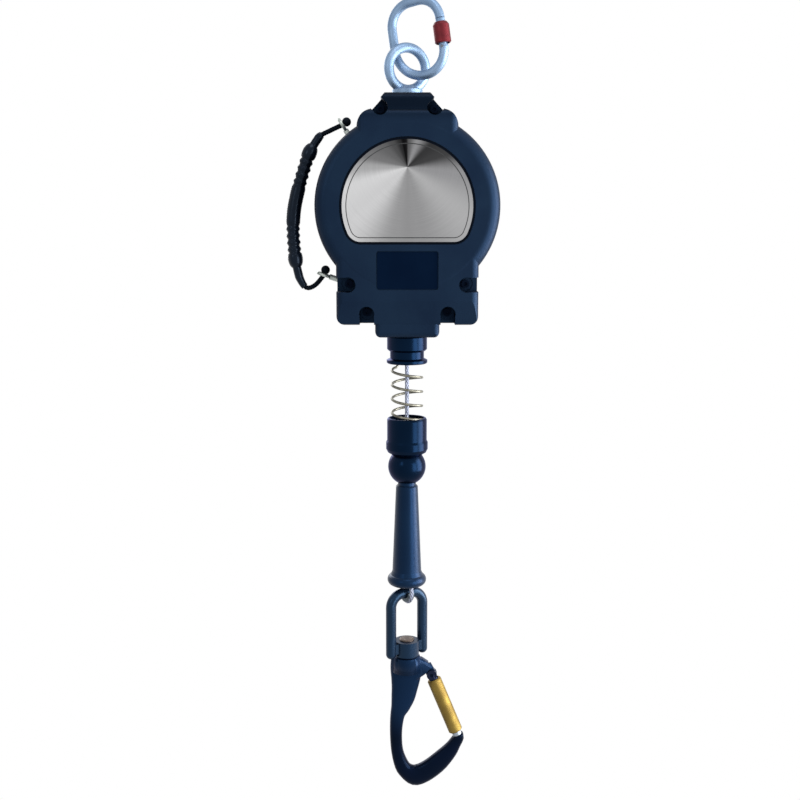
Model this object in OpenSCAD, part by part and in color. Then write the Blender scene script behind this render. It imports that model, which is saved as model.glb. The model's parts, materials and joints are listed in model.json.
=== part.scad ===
// Self retracting lifeline on its anchor carabiner, hanging plumb.
// Origin: the inside of the carabiner's top bow, on the plumb line. Front faces -Y, +Z is up.

/* [Anchor carabiner] */
// Rod diameter of the carabiner
car_rod = 10; // [9:0.5:10.5]
// Width between rod centres
car_w = 58; // [54:1:62]
// Height between rod centres
car_h = 78; // [74:1:84]
// Bend radius of the three small corners
car_bend = 24; // [22:1:26]
// Bend radius of the basket corner that carries the swivel eye
car_basket = 33; // [31:1:35]
// Offset of the carabiner's middle from the plumb line
car_off = 12.5; // [11.5:0.5:14]
// Lean of the carabiner in its own plane
car_lean = 9; // [6:1:11]
// Turn of the carabiner's plane about the plumb line
car_turn = -28; // [-32:1:-27]
// Outer diameter of the screw sleeve
screw_d = 17.5; // [16:0.5:20]
// Length of the screw sleeve
screw_len = 22; // [18:1:24]
// Gap between the backed-off screw sleeve and the gate's free end
screw_gap = 4.6; // [3:0.2:5]

/* [Swivel eye] */
// Rod diameter of the ring
eye_rod = 10.6; // [9:0.2:11]
// Radius of the ring's rod centre
eye_r = 22; // [21.5:0.5:23]
// Height of the ring's middle above the rod that it hangs on
eye_seat = 3; // [2:0.2:4]
// Turn of the ring's plane about the plumb line
eye_turn = 26; // [25:1:32]
// Diameter of the collar under the ring
collar_d = 33; // [28:1:38]
// Diameter of the swivel stem
stem_d = 16; // [12:1:18]

/* [Housing] */
// Radius of the round body
body_r = 100; // [98:1:108]
// Half depth of the round body
body_y = 42; // [41:0.5:48]
// Radius of the round body's edge
body_edge = 13; // [6:1:16]
// Half width of the shoulders
shoulder_x = 54; // [48:1:60]
// Height of the shoulders above the drum axis
shoulder_up = 102; // [99:1:105]
// Corner radius of the shoulders
shoulder_round = 19; // [12:1:22]
// Half width of the neck at its top
neck_x = 24; // [21:1:27]
// Height of the neck's top above the drum axis
neck_up = 119; // [117:1:124]
// Half depth of the neck
neck_y = 37.5; // [37:0.5:40]
// Half width of the lower block
block_x = 77; // [74:1:84]
// Depth of the lower block under the drum axis
block_down = 127; // [124:1:134]
// Depth of the lower crease under the drum axis
crease_down = 99.5; // [94:0.5:104]
// Set-back of the block's foot below the crease
foot_back = 4; // [2:0.5:5]
// Half width of the nozzle tongue
tongue_x = 35; // [30:1:38]
// Depth of the tongue under the lower block
tongue_len = 14; // [10:1:20]
// Edge radius of the blocks
block_edge = 8; // [3:1:9]
// Radius of the bolt pockets
pocket_r = 8.3; // [7.5:0.1:9]
// Half thickness of the lugs that the bolts clamp
lug_y = 10; // [8:1:14]

/* [Face plate] */
// Radius of the face plate
plate_r = 71; // [64:1:74]
// Depth of the plate's flat edge under the drum axis
plate_flat = 38.5; // [34:0.5:42]
// Corner radius of the plate
plate_corner = 16.5; // [10:0.5:20]
// Thickness of the face plate
plate_t = 1.6; // [1:0.1:1.8]
// Width of the groove round the plates
plate_gap = 1.8; // [1:0.2:2.4]
// Width of the label plate
label_w = 65; // [50:1:80]
// Height of the label plate
label_h = 40; // [30:1:44]
// Depth of the label plate's middle under the drum axis
label_down = 68; // [66:1:72]

/* [Drum and frame] */
// Usable length of the lifeline
line_len = 10000; // [8600:100:10400]
// Drum turns for the whole line
line_turns = 22; // [22:1:22]
// Diameter of the wire rope
wire_d = 4.8; // [4:0.1:5]
// Radius of the drum's core
core_r = 45; // [40:1:48]
// Radius of the drum's flanges
flange_r = 80; // [79:0.5:81]
// Distance between the flanges
drum_gap = 26; // [25:0.5:27]
// Diameter of the main shaft
shaft_d = 18; // [14:1:20]
// Half distance between the load plates
frame_y = 30; // [29.5:0.5:31]
// Thickness of a load plate
frame_t = 4; // [3:0.5:4]
// Half width of the load plates
frame_x = 18; // [17:0.5:18.5]
// Number of ratchet teeth
ratchet_teeth = 12; // [12:4:12]
// Tip radius of the ratchet
ratchet_r = 46; // [44:0.5:47]
// Depth of the ratchet teeth
tooth_deep = 7; // [5:0.5:8]
// Swing of a pawl from rest to engaged
pawl_swing = 10; // [8:1:12]
// Width of the power spring strip
strip_w = 9; // [7:0.5:10]
// Turns of the power spring
strip_turns = 7; // [5:1:9]

/* [Carry handle] */
// Diameter of the carry cord
cord_d = 5.5; // [4:0.5:6]
// Diameter of the grip's bulges
grip_bulge_d = 16.6; // [15:0.2:20]
// Diameter of the grip's smooth middle
grip_mid_d = 15.8; // [14:0.2:18]
// Diameter of the grip's ends
grip_end_d = 9.6; // [8:0.2:11]
// Ring radius of an eyelet, at its rod centre
eyelet_r = 6.5; // [6.2:0.1:8]
// Rod diameter of an eyelet
eyelet_rod = 3.6; // [2.6:0.1:3.8]

/* [Nozzle and bumper] */
// Diameter of the nozzle's upper collar
nozzle_d = 44.8; // [40:0.2:48]
// Diameter of the nozzle's bottom flange
nozzle_flange_d = 45.7; // [42:0.1:50]
// Length of the nozzle under the tongue
nozzle_len = 32; // [28:1:40]
// Outer diameter of the bumper spring
bumper_d = 36.8; // [32:0.2:37.2]
// Wire diameter of the bumper spring
bumper_wire = 3; // [2:0.2:3.6]
// Turns of the bumper spring
bumper_turns = 4.25; // [3.25:0.5:5.25]
// Turn of the bumper spring about the line
bumper_set = 216; // [0:1:360]
// Length of the bumper spring
bumper_len = 79.5; // [72:0.5:88]
// Outer diameter of the spring cup's rim
cup_d = 45; // [43:0.5:48]
// Height of the spring cup
cup_h = 42; // [36:1:50]
// Depth of the spring cup's inside
cup_deep = 18; // [12:1:22]
// Wall of the spring cup
cup_wall = 3.3; // [2.4:0.1:3.4]
// Diameter of the ball stop
ball_d = 42.8; // [40:0.2:46]
// Height of the cut ball stop
ball_h = 31.5; // [28:0.5:34]

/* [Grip sleeve and wire eye] */
// Length of the grip sleeve
sleeve_len = 122; // [112:1:140]
// Top diameter of the grip sleeve
sleeve_top_d = 25; // [23:0.5:28]
// Bottom diameter of the grip sleeve
sleeve_bot_d = 33.3; // [32:0.5:36]
// Diameter of the sleeve's rolled flange
sleeve_flange_d = 44.7; // [40:0.5:48]
// Thickness of the rolled flange
sleeve_flange_t = 13; // [10:0.5:15]
// Reach of the wire eye under the sleeve
eye_reach = 23; // [22:0.5:26]
// Inner radius of the thimble
thimble_r = 7; // [6.7:0.1:7.6]
// Wall of the thimble
thimble_wall = 1.5; // [1:0.1:2]

/* [Hook] */
// Rod diameter of the swivel bow
bow_rod = 12; // [10:0.5:12.5]
// Half width of the bow at its rod centres
bow_x = 21; // [20:0.5:24]
// Bend radius of the bow
bow_bend = 15; // [12:0.5:18]
// Length of the bow from its bar to the foot of its legs
bow_len = 71; // [66:1:84]
// Turn of the bow about the plumb line
bow_turn = 30; // [0:1:45]
// Diameter of the hub between the bow's legs
hub_d = 28.7; // [26:0.1:30]
// Height of the hub
hub_h = 17.5; // [15:0.5:24]
// Diameter of the swivel pin
pin_d = 10; // [8:0.5:12]
// Diameter of the riveted head of the swivel pin
pin_head_d = 17; // [14:0.5:20]
// Half thickness of the hook forging
hook_y = 7; // [6:0.5:9]
// Diameter of the gate arm
gate_d = 11; // [10:0.5:12]
// Outer diameter of the locking sleeve
lock_d = 16.5; // [15:0.5:18]
// Length of the locking sleeve
lock_len = 70; // [55:1:72]

/* [Hidden] */
$fn = 64;

// Clearances
run = 0.05;
slip = 0.3;
seat = 0.4;
big = 400;

// Carabiner: corner centres after the lean, the seat and the rod on the plumb line
function turned(p, a) = [p.x * cos(a) - p.y * sin(a), p.x * sin(a) + p.y * cos(a)];
car_tl = turned([-car_w / 2 + car_bend, car_h / 2 - car_bend], car_lean);
car_bl = turned([-car_w / 2 + car_basket, -car_h / 2 + car_basket], car_lean);
car_z = -(car_tl.y + sqrt(pow(car_bend - car_rod / 2, 2) - pow(car_off + car_tl.x, 2)));
bear_z = car_z + car_bl.y - sqrt(pow(car_basket, 2) - pow(car_off + car_bl.x, 2));
gate_top = car_h / 2 - car_bend;
gate_hinge = -car_h / 2 + car_bend;
gate_len = gate_top - gate_hinge;
gate_tang = 4;
gate_nose = 0.8;
screw_bore = car_rod + 1.2;
gate_pin_r = 1.6;

// Swivel eye and the drum axis under it
eye_z = bear_z + eye_seat;
collar_gap = 0.7;
hub_z = eye_z - eye_r - eye_rod / 2 - collar_gap - neck_up;
collar_h = 5;
stem_r = stem_d / 2;
neck_wall = 6.5;
block_top = neck_up - neck_wall;
block_h = 18;
washer_t = 2.4;
eye_nut_h = 7;
stem_end = block_top - block_h - washer_t - eye_nut_h - 2 * run;

// Housing inside
block_y = body_y - 0.2;
chamber_r = body_r - 8;
chamber_y = body_y - 3.5;
frame_out = frame_y + frame_t;
tongue_down = block_down + tongue_len;
bolt_r = 2.5;
// Case bolts on the right side: x, z from the drum axis and the way their pocket opens
bolt_at = [
  [neck_x + 5, neck_up - 16, 45],
  [block_x - 13, -body_r * 0.835, 0],
  [tongue_x + 9, 12 - block_down, -90]];
head_r = bolt_r + 1.9;
head_h = 2 * bolt_r;
nut_r = bolt_r + 2.3;
nut_h = bolt_r * 1.8;
recess = 2;

// Drum: pay-off radius from the line's length and turns, wound radius one wire inside it
pay_r = line_len / (2 * PI * line_turns);
wound_r = pay_r - wire_d - 0.7;
drum_half = drum_gap / 2;
flange_t = 2;
drum_out = drum_half + flange_t;
hub_bore = shaft_d / 2 + 3;
wind_pitch = wire_d + 0.5;
wind_turns = 3.5;

// Brake stack along the shaft, behind the drum
brake_y = drum_out + 1;
press_t = 2.5;
lining_t = 2;
ratchet_t = 5;
ratchet_y = brake_y + press_t + lining_t;
disc_y = ratchet_y + ratchet_t + lining_t;
lining_r = ratchet_r - tooth_deep - 5;
pawl_pivot = 66;
pawl_nose = ratchet_r - tooth_deep + 3.2;
pawl_lead = 32;
pawl_t = 4.4;
pawl_eye_r = 8;
pawl_pin_r = pawl_eye_r / 2;

// Spring case in front of the drum
case_r = 60;
case_wall = 2.5;
case_y = frame_y - 0.8;
arbor_r = shaft_d / 2 + 6;
strip_t = 1;

// Line under the housing, measured from the drum axis
nozzle_bot = tongue_down + nozzle_len;
bumper_top = nozzle_bot + seat;
cup_rim = bumper_top + bumper_len - cup_deep + seat;
cup_foot = cup_rim + cup_h;
ball_top = cup_foot + 0.3;
ball_foot = ball_top + ball_h;
sleeve_top = ball_foot + 0.3;
sleeve_foot = sleeve_top + sleeve_len;
wire_r = wire_d / 2;
wire_bore = wire_r + 0.3;
loop_r = thimble_r + thimble_wall + wire_r;
loop_z = sleeve_foot + eye_reach - loop_r - wire_r;
loop_turn = bow_turn + 90;
ferrule_top = sleeve_foot - 54;
ferrule_len = 22;
ferrule_foot = ferrule_top + ferrule_len;
strand_x = wire_r + 0.2;

// Hook bow, hub and swivel
bow_z = loop_z + thimble_r - bow_rod / 2 - seat;
bow_foot = bow_z + bow_len;
hub_foot = bow_foot + 4;
hub_top = hub_foot - hub_h;
washer_gap = 1.5;
hook_top = hub_foot + washer_gap + 0.3;

// Hook gate: hinge place under the hook's top, and the arm's slope from the vertical
gate_at = [29.4, -22.7];
gate_slope = 22.2;
lock_start = 6.3;
arm_len = lock_start + lock_len + 4.7;
arm_pin_r = 2;
arm_tang = 5;
arm_knuckle = 6;

// Hook centre line from the boss down the spine and round to the nose: x, z, half width
nose_dir = [sin(gate_slope), -cos(gate_slope)];
nose_gap = 0.55;
nose_at = gate_at + (arm_len - 2) * nose_dir;
nose_in = nose_at + 5.7 * nose_dir;
hook_line = [
  [0, -1, 15], [0, -4, 18], [-0.4, -10, 18.6], [-0.8, -18, 18.3], [-1.2, -28, 17.2], [-2.6, -40.8, 15.3],
  [-4.4, -52, 13.9], [-7.4, -63, 11.3], [-10.2, -71, 9], [-11.9, -82, 7.9], [-12.6, -98, 7.2],
  [-11.3, -118, 7.2], [-6.2, -135.8, 8.6], [0, -144.5, 9.6], [9.1, -149.2, 12.5], [17.7, -147.5, 12.1],
  [28.8, -140.7, 11.7], [39.9, -131, 11.1], [51.6, -117.9, 8.9], [57.2, -109, 7.2],
  [nose_in.x, nose_in.y, 6.5], [nose_at.x, nose_at.y, 6.3]];
// Outline of the head that reaches from the boss to the gate's hinge
hook_head = [
  [0, -30], [13, -26.5], [20.8, -21.2], [26.8, -14.7], [25.3, -8.7], [18, -3.6], [10, -2.2], [0, -2]];

// Carry cord: eyelets on the rim and on a bolt lug, and the cord's way between them, x, z from the drum axis
handle_y = -5;
function round_case(p) = p * body_r / 100;
upper_eyelet = round_case([-70.5, 87.5]);
lower_eyelet = [-block_x - 0.15 * body_r, -0.74 * body_r];
upper_shank = [0.55, -0.83];
lower_shank = [-bolt_at[1].x, bolt_at[1].y] - lower_eyelet;
upper_len = 22;
lower_len = norm(lower_shank) - bolt_r - 0.8;
stop_r = eyelet_r - eyelet_rod / 2 + 0.2;
function behind_ring(at, shank) = at + unit([-shank.y, shank.x]) * 5.6;
cord_route = concat(
  [behind_ring(upper_eyelet, upper_shank), upper_eyelet],
  [for (p = [
    [-83.5, 81.5], [-96, 74.5], [-106, 59], [-113, 40], [-119.5, 18], [-124, -2.5], [-125.5, -23],
    [-124.5, -45], [-122.5, -62], [-119.5, -76]]) round_case(p)],
  [for (p = [[-20, -14], [-10, -11.5], [0, 0]]) lower_eyelet + round_case(p)],
  [behind_ring(lower_eyelet, lower_shank)]);

// Inner run of the wire from the drum to the guide bush: x, z from the drum axis
run_route = [
  [59.6, -41], [40, -69.7], [20, -98.8], [9, -114.5], [3.2, -125.5], [0.6, -136], [0, -146],
  [0, -158], [0, -170]];

// Small helpers
function unit(v) = v / norm(v);
function soft_step(p0, p1, p2, p3, t) =
  0.5 * (2 * p1 + (p2 - p0) * t + (2 * p0 - 5 * p1 + 4 * p2 - p3) * t * t
         + (3 * p1 - p0 - 3 * p2 + p3) * t * t * t);
function smooth(p, n) = let (m = len(p) - 1) concat(
  [for (i = [0:m - 1], k = [0:n - 1])
    soft_step(p[max(i - 1, 0)], p[i], p[i + 1], p[min(i + 2, m)], k / n)],
  [p[m]]);
function heading(p, i) = unit(p[min(i + 1, len(p) - 1)] - p[max(i - 1, 0)]);
function power(c, e) = sign(c) * pow(abs(c), e);
function along(p) = [for (i = 0, s = 0; i < len(p);
  s = s + (i < len(p) - 1 ? norm(p[i + 1] - p[i]) : 0), i = i + 1) s];

// Triangles of a tube of rings, with both ends closed
function ring_faces(rings, n) = concat(
  [for (i = [0:rings - 2], k = [0:n - 1]) each [
    [i * n + k, (i + 1) * n + k, i * n + (k + 1) % n],
    [i * n + (k + 1) % n, (i + 1) * n + k, (i + 1) * n + (k + 1) % n]]],
  [for (k = [1:n - 2]) [0, k, k + 1]],
  [for (k = [1:n - 2]) let (e = (rings - 1) * n) [e, e + k + 1, e + k]]);

// A tube along a path in the XZ plane, with its own half width and half depth at each point
module planar_tube(path, wide, deep, sides, e = 1)
  polyhedron(
    [for (i = [0:len(path) - 1]) let (t = heading(path, i)) for (k = [0:sides - 1])
      let (c = power(cos(360 * k / sides), e), s = power(sin(360 * k / sides), e))
      [path[i].x - t.y * wide[i] * c, -deep[i] * s, path[i].y + t.x * wide[i] * c]],
    ring_faces(len(path), sides), convexity = 8);

// Centre line of a coil round Z: straight ends along Z, one tube diameter long
function coil_path(r, turns, rise, d, per_turn) = let (n = ceil(turns * per_turn), b = d * 0.8) concat(
  [[r, 0, 0], [r, 0, d]],
  [for (i = [1:n - 1]) let (a = 360 * turns * i / n)
    [r * cos(a), r * sin(a), d + b + (rise - 2 * d - 2 * b) * i / n]],
  [for (z = [rise - d, rise]) [r * cos(360 * turns), r * sin(360 * turns), z]]);

// Least gap of a coil to itself, between points over half a turn apart
function coil_gap(p, d, per_turn) = let (skip = ceil(per_turn / 2)) min(
  [for (i = [0:len(p) - 1 - skip], j = [i + skip:len(p) - 1]) norm(p[i] - p[j])]) - d;

module coil_tube(p, d, sides)
  polyhedron(
    [for (i = [0:len(p) - 1]) let (t = heading(p, i), o = unit([p[i].x, p[i].y, 0]),
      n = unit(o - t * (o * t)), b = cross(t, n)) for (k = [0:sides - 1])
      p[i] + (n * cos(360 * k / sides) - b * sin(360 * k / sides)) * d / 2],
    ring_faces(len(p), sides), convexity = 12);

module at_hub() translate([0, 0, hub_z]) children();
module under(z) translate([0, 0, hub_z - z]) children();
module both_x() for (m = [0, 1]) mirror([m, 0, 0]) children();
// Extrudes an XZ outline from y0 to y1
module slab(y0, y1) translate([0, y1, 0]) rotate([90, 0, 0]) linear_extrude(y1 - y0) children();
module slab_x(x0, x1) translate([x0, 0, 0]) rotate([90, 0, 90]) linear_extrude(x1 - x0) children();
module bar_y(r, y0, y1) translate([0, y0, 0]) rotate([-90, 0, 0]) cylinder(r = r, h = y1 - y0);
module tube_y(r0, r1, y0, y1) difference() {
  bar_y(r1, y0, y1);
  bar_y(r0, y0 - 1, y1 + 1);
}
module hex_y(r, y0, y1) translate([0, y0, 0]) rotate([-90, 0, 0]) cylinder(r = r, h = y1 - y0, $fn = 6);
module box(x, y, z) translate([x[0], y[0], z[0]]) cube([x[1] - x[0], y[1] - y[0], z[1] - z[0]]);
module rounded(x, y, r) {
  translate([x[0] + r, y[0]]) square([x[1] - x[0] - 2 * r, y[1] - y[0]]);
  translate([x[0], y[0] + r]) square([x[1] - x[0], y[1] - y[0] - 2 * r]);
  for (a = [x[0] + r, x[1] - r], b = [y[0] + r, y[1] - r]) translate([a, b]) circle(r);
}
// A block whose outline, side and plan are all rounded
module soft_block(x, y, z, corner, edge) intersection() {
  slab(-y, y) rounded([-x, x], z, corner);
  slab_x(-x - 1, x + 1) rounded([-y, y], z, edge);
  translate([0, 0, z[0] - 1]) linear_extrude(z[1] - z[0] + 2) rounded([-x, x], [-y, y], edge);
}

// Anchor carabiner
module in_carabiner() rotate([0, 0, car_turn]) translate([car_off, 0, car_z])
  rotate([0, -car_lean, 0]) children();
module rod_up(x, z0, z1, d) translate([x, 0, z0]) cylinder(d = d, h = z1 - z0);
module rod_across(z, x0, x1, d) translate([x0, 0, z]) rotate([0, 90, 0]) cylinder(d = d, h = x1 - x0);
module rod_bend(c, r, from, sweep, d)
  translate([c.x, 0, c.y]) rotate([90, 0, 0]) rotate([0, 0, from])
    rotate_extrude(angle = sweep) translate([r, 0]) circle(d = d);
module in_gate(z) in_carabiner() translate([car_w / 2, 0, z]) children();

module carabiner_body() color("#8fa9c4") in_carabiner() difference() {
  union() {
    rod_bend([-car_w / 2 + car_bend, car_h / 2 - car_bend], car_bend, 90, 90, car_rod);
    rod_bend([car_w / 2 - car_bend, car_h / 2 - car_bend], car_bend, 0, 90, car_rod);
    rod_bend([car_w / 2 - car_bend, -car_h / 2 + car_bend], car_bend, 270, 90, car_rod);
    rod_bend([-car_w / 2 + car_basket, -car_h / 2 + car_basket], car_basket, 180, 90, car_rod);
    rod_across(car_h / 2, -car_w / 2 + car_bend, car_w / 2 - car_bend, car_rod);
    rod_across(-car_h / 2, -car_w / 2 + car_basket, car_w / 2 - car_bend, car_rod);
    rod_up(-car_w / 2, -car_h / 2 + car_basket, car_h / 2 - car_bend, car_rod);
    intersection() {
      rod_up(car_w / 2, gate_hinge - 1, gate_hinge + car_rod, car_rod);
      translate([car_w / 2, 0, gate_hinge]) union() {
        bar_y(car_rod / 2 - 0.2, -gate_tang / 2, gate_tang / 2);
        box([-car_rod, car_rod], [-gate_tang / 2, gate_tang / 2], [-2, 0]);
      }
    }
  }
  translate([car_w / 2, 0, gate_hinge]) bar_y(gate_pin_r + run, -car_rod, car_rod);
}

module carabiner_gate_pin() color("#8894a4") in_gate(gate_hinge)
  bar_y(gate_pin_r, -car_rod / 2 + 0.6, car_rod / 2 - 0.6);

module carabiner_gate() color("#8fa9c4") in_gate(gate_hinge) difference() {
  translate([0, 0, seat]) cylinder(d = car_rod, h = gate_len - seat - gate_nose);
  slab(-car_rod, car_rod)
    polygon([[-car_rod, -1], [0.5, -1], [0.5, seat], [-car_rod, seat + car_rod * 0.56]]);
  box([-car_rod, car_rod], [-gate_tang / 2 - slip, gate_tang / 2 + slip], [-1, car_rod / 2 + seat]);
  bar_y(gate_pin_r + run, -car_rod, car_rod);
}

module carabiner_sleeve() color("#8c2029") in_gate(gate_top - screw_gap - screw_len) difference() {
  rotate_extrude() polygon([
    [0, 0], [screw_d / 2 - 1.2, 0], [screw_d / 2, 1.2], [screw_d / 2, screw_len - 3],
    [screw_d / 2 - 2, screw_len], [0, screw_len]]);
  translate([0, 0, -1]) cylinder(d = screw_bore, h = screw_len + 2);
  translate([0, 0, -1]) cylinder(d = (screw_d + screw_bore) / 2, h = 4);
}

// Swivel eye
module in_eye() rotate([0, 0, eye_turn]) translate([0, 0, eye_z]) children();
module swivel_eye() color("#a9c4e0") in_eye() {
  rotate([90, 0, 0]) rotate_extrude() translate([eye_r, 0]) circle(d = eye_rod);
  translate([0, 0, -eye_r - eye_rod / 2]) {
    cylinder(d = collar_d, h = collar_h);
    translate([0, 0, collar_h]) cylinder(d1 = collar_d, d2 = eye_rod + 4, h = eye_rod / 2 - 1);
    translate([0, 0, stem_end - neck_up - collar_gap])
      cylinder(r = stem_r, h = neck_up + collar_gap - stem_end + 1);
  }
}
module eye_washer() color("#9a8a5c") at_hub() translate([0, 0, block_top - block_h - washer_t - run])
difference() {
  cylinder(r = stem_r + 6, h = washer_t);
  translate([0, 0, -1]) cylinder(r = stem_r + run, h = washer_t + 2);
}
module eye_nut() color("#8894a4") at_hub() translate([0, 0, stem_end]) difference() {
  cylinder(r = stem_r + 5.5, h = eye_nut_h, $fn = 6);
  translate([0, 0, -1]) cylinder(r = stem_r + run, h = eye_nut_h + 2);
}

// Housing
module bolts_xz() for (b = bolt_at, s = [-1, 1]) translate([s * b.x, 0, b.y]) children();
module pockets_xz() for (b = bolt_at, s = [0, 1]) mirror([s, 0, 0])
  translate([b.x, 0, b.y]) rotate([0, -b.z, 0]) children();
module eyelet_axis(at, shank) translate([at.x, handle_y, at.y])
  rotate([0, 90 - atan2(shank.y, shank.x), 0]) children();
module housing_form() {
  rotate([-90, 0, 0]) rotate_extrude($fn = 128) {
    translate([0, -body_y]) square([body_r - body_edge, 2 * body_y]);
    translate([0, body_edge - body_y]) square([body_r, 2 * (body_y - body_edge)]);
    for (s = [-1, 1]) translate([body_r - body_edge, s * (body_y - body_edge)]) circle(body_edge);
  }
  soft_block(shoulder_x, block_y, [20, shoulder_up], shoulder_round, block_edge);
  intersection() {
    soft_block(shoulder_x - 4, neck_y, [20, neck_up], 4, block_edge);
    slab(-neck_y, neck_y) polygon([
      [-shoulder_x, 40], [-neck_x - 15, shoulder_up], [-neck_x - 3, neck_up - 4], [-neck_x, neck_up],
      [neck_x, neck_up], [neck_x + 3, neck_up - 4], [neck_x + 15, shoulder_up], [shoulder_x, 40]]);
  }
  intersection() {
    soft_block(block_x, block_y, [-block_down, -20], 10, block_edge);
    slab_x(-big, big) polygon([
      [-body_y, 0], [-body_y, -crease_down], [foot_back - body_y, -block_down - 1],
      [body_y - foot_back, -block_down - 1], [body_y, -crease_down], [body_y, 0]]);
  }
  soft_block(tongue_x, block_y + 0.4 - foot_back, [-tongue_down, -60], 7, block_edge - 2);
}
module housing_hollow() {
  bar_y(chamber_r, -chamber_y, chamber_y);
  box([-frame_x - 1, frame_x + 1], [-frame_out - seat, frame_out + seat], [40, block_top + 0.2]);
  translate([0, 0, block_top]) cylinder(r = stem_r + 0.6, h = 20);
  box([-12, 37], [-7, 7], [-block_down + 4, -60]);
  translate([0, 0, -tongue_down - 1]) cylinder(r = 15 + run, h = 20);
  bolts_xz() bar_y(bolt_r + slip, -big, big);
  for (s = [0, 1]) mirror([0, s, 0]) {
    bolts_xz() bar_y(pocket_r, lug_y, big);
    pockets_xz() box([0, 4 * pocket_r], [lug_y + 1, big], [0.4 - pocket_r, pocket_r - 0.4]);
  }
  eyelet_axis(upper_eyelet, upper_shank) cylinder(r = 3 + run, h = upper_len);
  eyelet_axis(lower_eyelet, lower_shank) cylinder(r = 3 + run, h = lower_len);
}
module half_housing(y0, y1) at_hub() intersection() {
  difference() {
    housing_form();
    housing_hollow();
  }
  box([-big, big], [y0, y1], [-big, big]);
}
function plate_points(r, flat, corner) = let (c = r - corner, z = corner - flat, x = sqrt(c * c - z * z),
  a = atan2(z, x)) concat(
  [for (i = [0:48]) let (t = a + (180 - 2 * a) * i / 48) r * [cos(t), sin(t)]],
  [for (i = [1:8]) let (t = 180 - a + (90 + a) * i / 8) [-x, z] + corner * [cos(t), sin(t)]],
  [for (i = [0:7]) let (t = 270 + (90 + a) * i / 8) [x, z] + corner * [cos(t), sin(t)]]);
module label_outline(g) translate([0, -label_down]) rounded([-label_w / 2 - g, label_w / 2 + g],
  [-label_h / 2 - g, label_h / 2 + g], 2 + g);

module front_cover() color("#1c2b40") difference() {
  half_housing(-big, 0);
  at_hub() slab(-body_y - 1, recess - body_y)
    polygon(plate_points(plate_r + plate_gap, plate_flat + plate_gap, plate_corner + plate_gap));
  at_hub() slab(-body_y - 1, recess - body_y) label_outline(plate_gap / 2);
}
module rear_cover() color("#18263a") half_housing(0, big);
module face_plate() color("#b4b4b2") at_hub() slab(recess - body_y - plate_t, recess - body_y)
  polygon(plate_points(plate_r, plate_flat, plate_corner));
module label_plate() color("#04142a") at_hub() slab(recess - body_y - 0.8, recess - body_y) label_outline(0);
module cover_bolts() color("#8894a4") at_hub() bolts_xz() difference() {
  union() {
    bar_y(bolt_r, -lug_y - 1, lug_y + nut_h + 1);
    bar_y(head_r, -lug_y - head_h, -lug_y);
  }
  hex_y(head_r / 2, -lug_y - head_h - 1, -lug_y - head_h / 2);
}
module cover_nuts() color("#8894a4") at_hub() bolts_xz() difference() {
  hex_y(nut_r, lug_y, lug_y + nut_h);
  bar_y(bolt_r + run, lug_y - 1, lug_y + nut_h + 1);
}

// Load frame and shaft
rivet_at = [11.5, block_top - 5.5];
module rivets_xz() both_x() translate([rivet_at.x, 0, rivet_at.y]) children();
module anchor_block() color("#7c8794") at_hub() difference() {
  box([-frame_x, frame_x], [-frame_y, frame_y], [block_top - block_h, block_top]);
  translate([0, 0, block_top - block_h - 1]) cylinder(r = stem_r + run, h = block_h + 2);
  rivets_xz() bar_y(3 + run, -frame_y - 1, frame_y + 1);
}
module load_plate(y0) at_hub() difference() {
  slab(y0, y0 + frame_t) {
    translate([-frame_x, 0]) square([2 * frame_x, block_top]);
    circle(frame_x + 4);
  }
  bar_y(shaft_d / 2 + run, y0 - 1, y0 + frame_t + 1);
  rivets_xz() bar_y(3 + run, y0 - 1, y0 + frame_t + 1);
}
module front_load_plate() color("#7c8794") load_plate(-frame_out);
module rear_load_plate() color("#7c8794") load_plate(frame_y);
module frame_rivets() color("#8894a4") at_hub() rivets_xz() bar_y(3, -frame_out, frame_out);
module main_shaft() color("#9aa0a8") at_hub() bar_y(shaft_d / 2, -chamber_y + seat, chamber_y - seat);
module shaft_nuts() color("#8894a4") at_hub() for (s = [0, 1]) mirror([0, s, 0]) difference() {
  hex_y(shaft_d / 2 + 5, frame_out, chamber_y - seat - 0.5);
  bar_y(shaft_d / 2 + run, frame_out - 1, chamber_y + 1);
}

// Drum, its wire and its return spring
module drum() color("#aeb4ba") at_hub() difference() {
  union() {
    bar_y(core_r, -drum_out, drum_out);
    bar_y(flange_r, -drum_out, -drum_half);
    bar_y(flange_r, drum_half, drum_out);
  }
  bar_y(hub_bore + run, -drum_out - 1, drum_out + 1);
  for (a = [0:60:300]) rotate([0, a, 0]) translate([(hub_bore + core_r) / 2, 0, 0])
    bar_y(8, -drum_out - 1, drum_out + 1);
  pawl_places() bar_y(pawl_pin_r + run, drum_half - 1, drum_out + 1);
  case_holes() bar_y(1.5 + run, -drum_out - 1, -drum_half + 1);
}
module drum_bushes() color("#b08a4a") at_hub() for (s = [0, 1]) mirror([0, s, 0])
  tube_y(shaft_d / 2 + run, hub_bore, 3, drum_out);
module winding_core() color("#8a909c") at_hub()
  tube_y(core_r + run, wound_r * cos(7.5) - wire_r - seat, seat - drum_half, drum_half - seat);
wind_points = [for (i = [0:24 * wind_turns])
  [wound_r * cos(15 * i), wound_r * sin(15 * i), wire_r + wind_pitch * i / 24]];
echo(winding_gap = coil_gap(wind_points, wire_d, 24));
module wire_winding() color("#9aa0ae") at_hub() translate([0, seat - drum_half, 0]) rotate([-90, 0, 0])
  coil_tube(wind_points, wire_d, 6);
module case_holes() for (a = [45:90:315]) rotate([0, a, 0]) translate([case_r + 4, 0, 0]) children();
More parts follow.
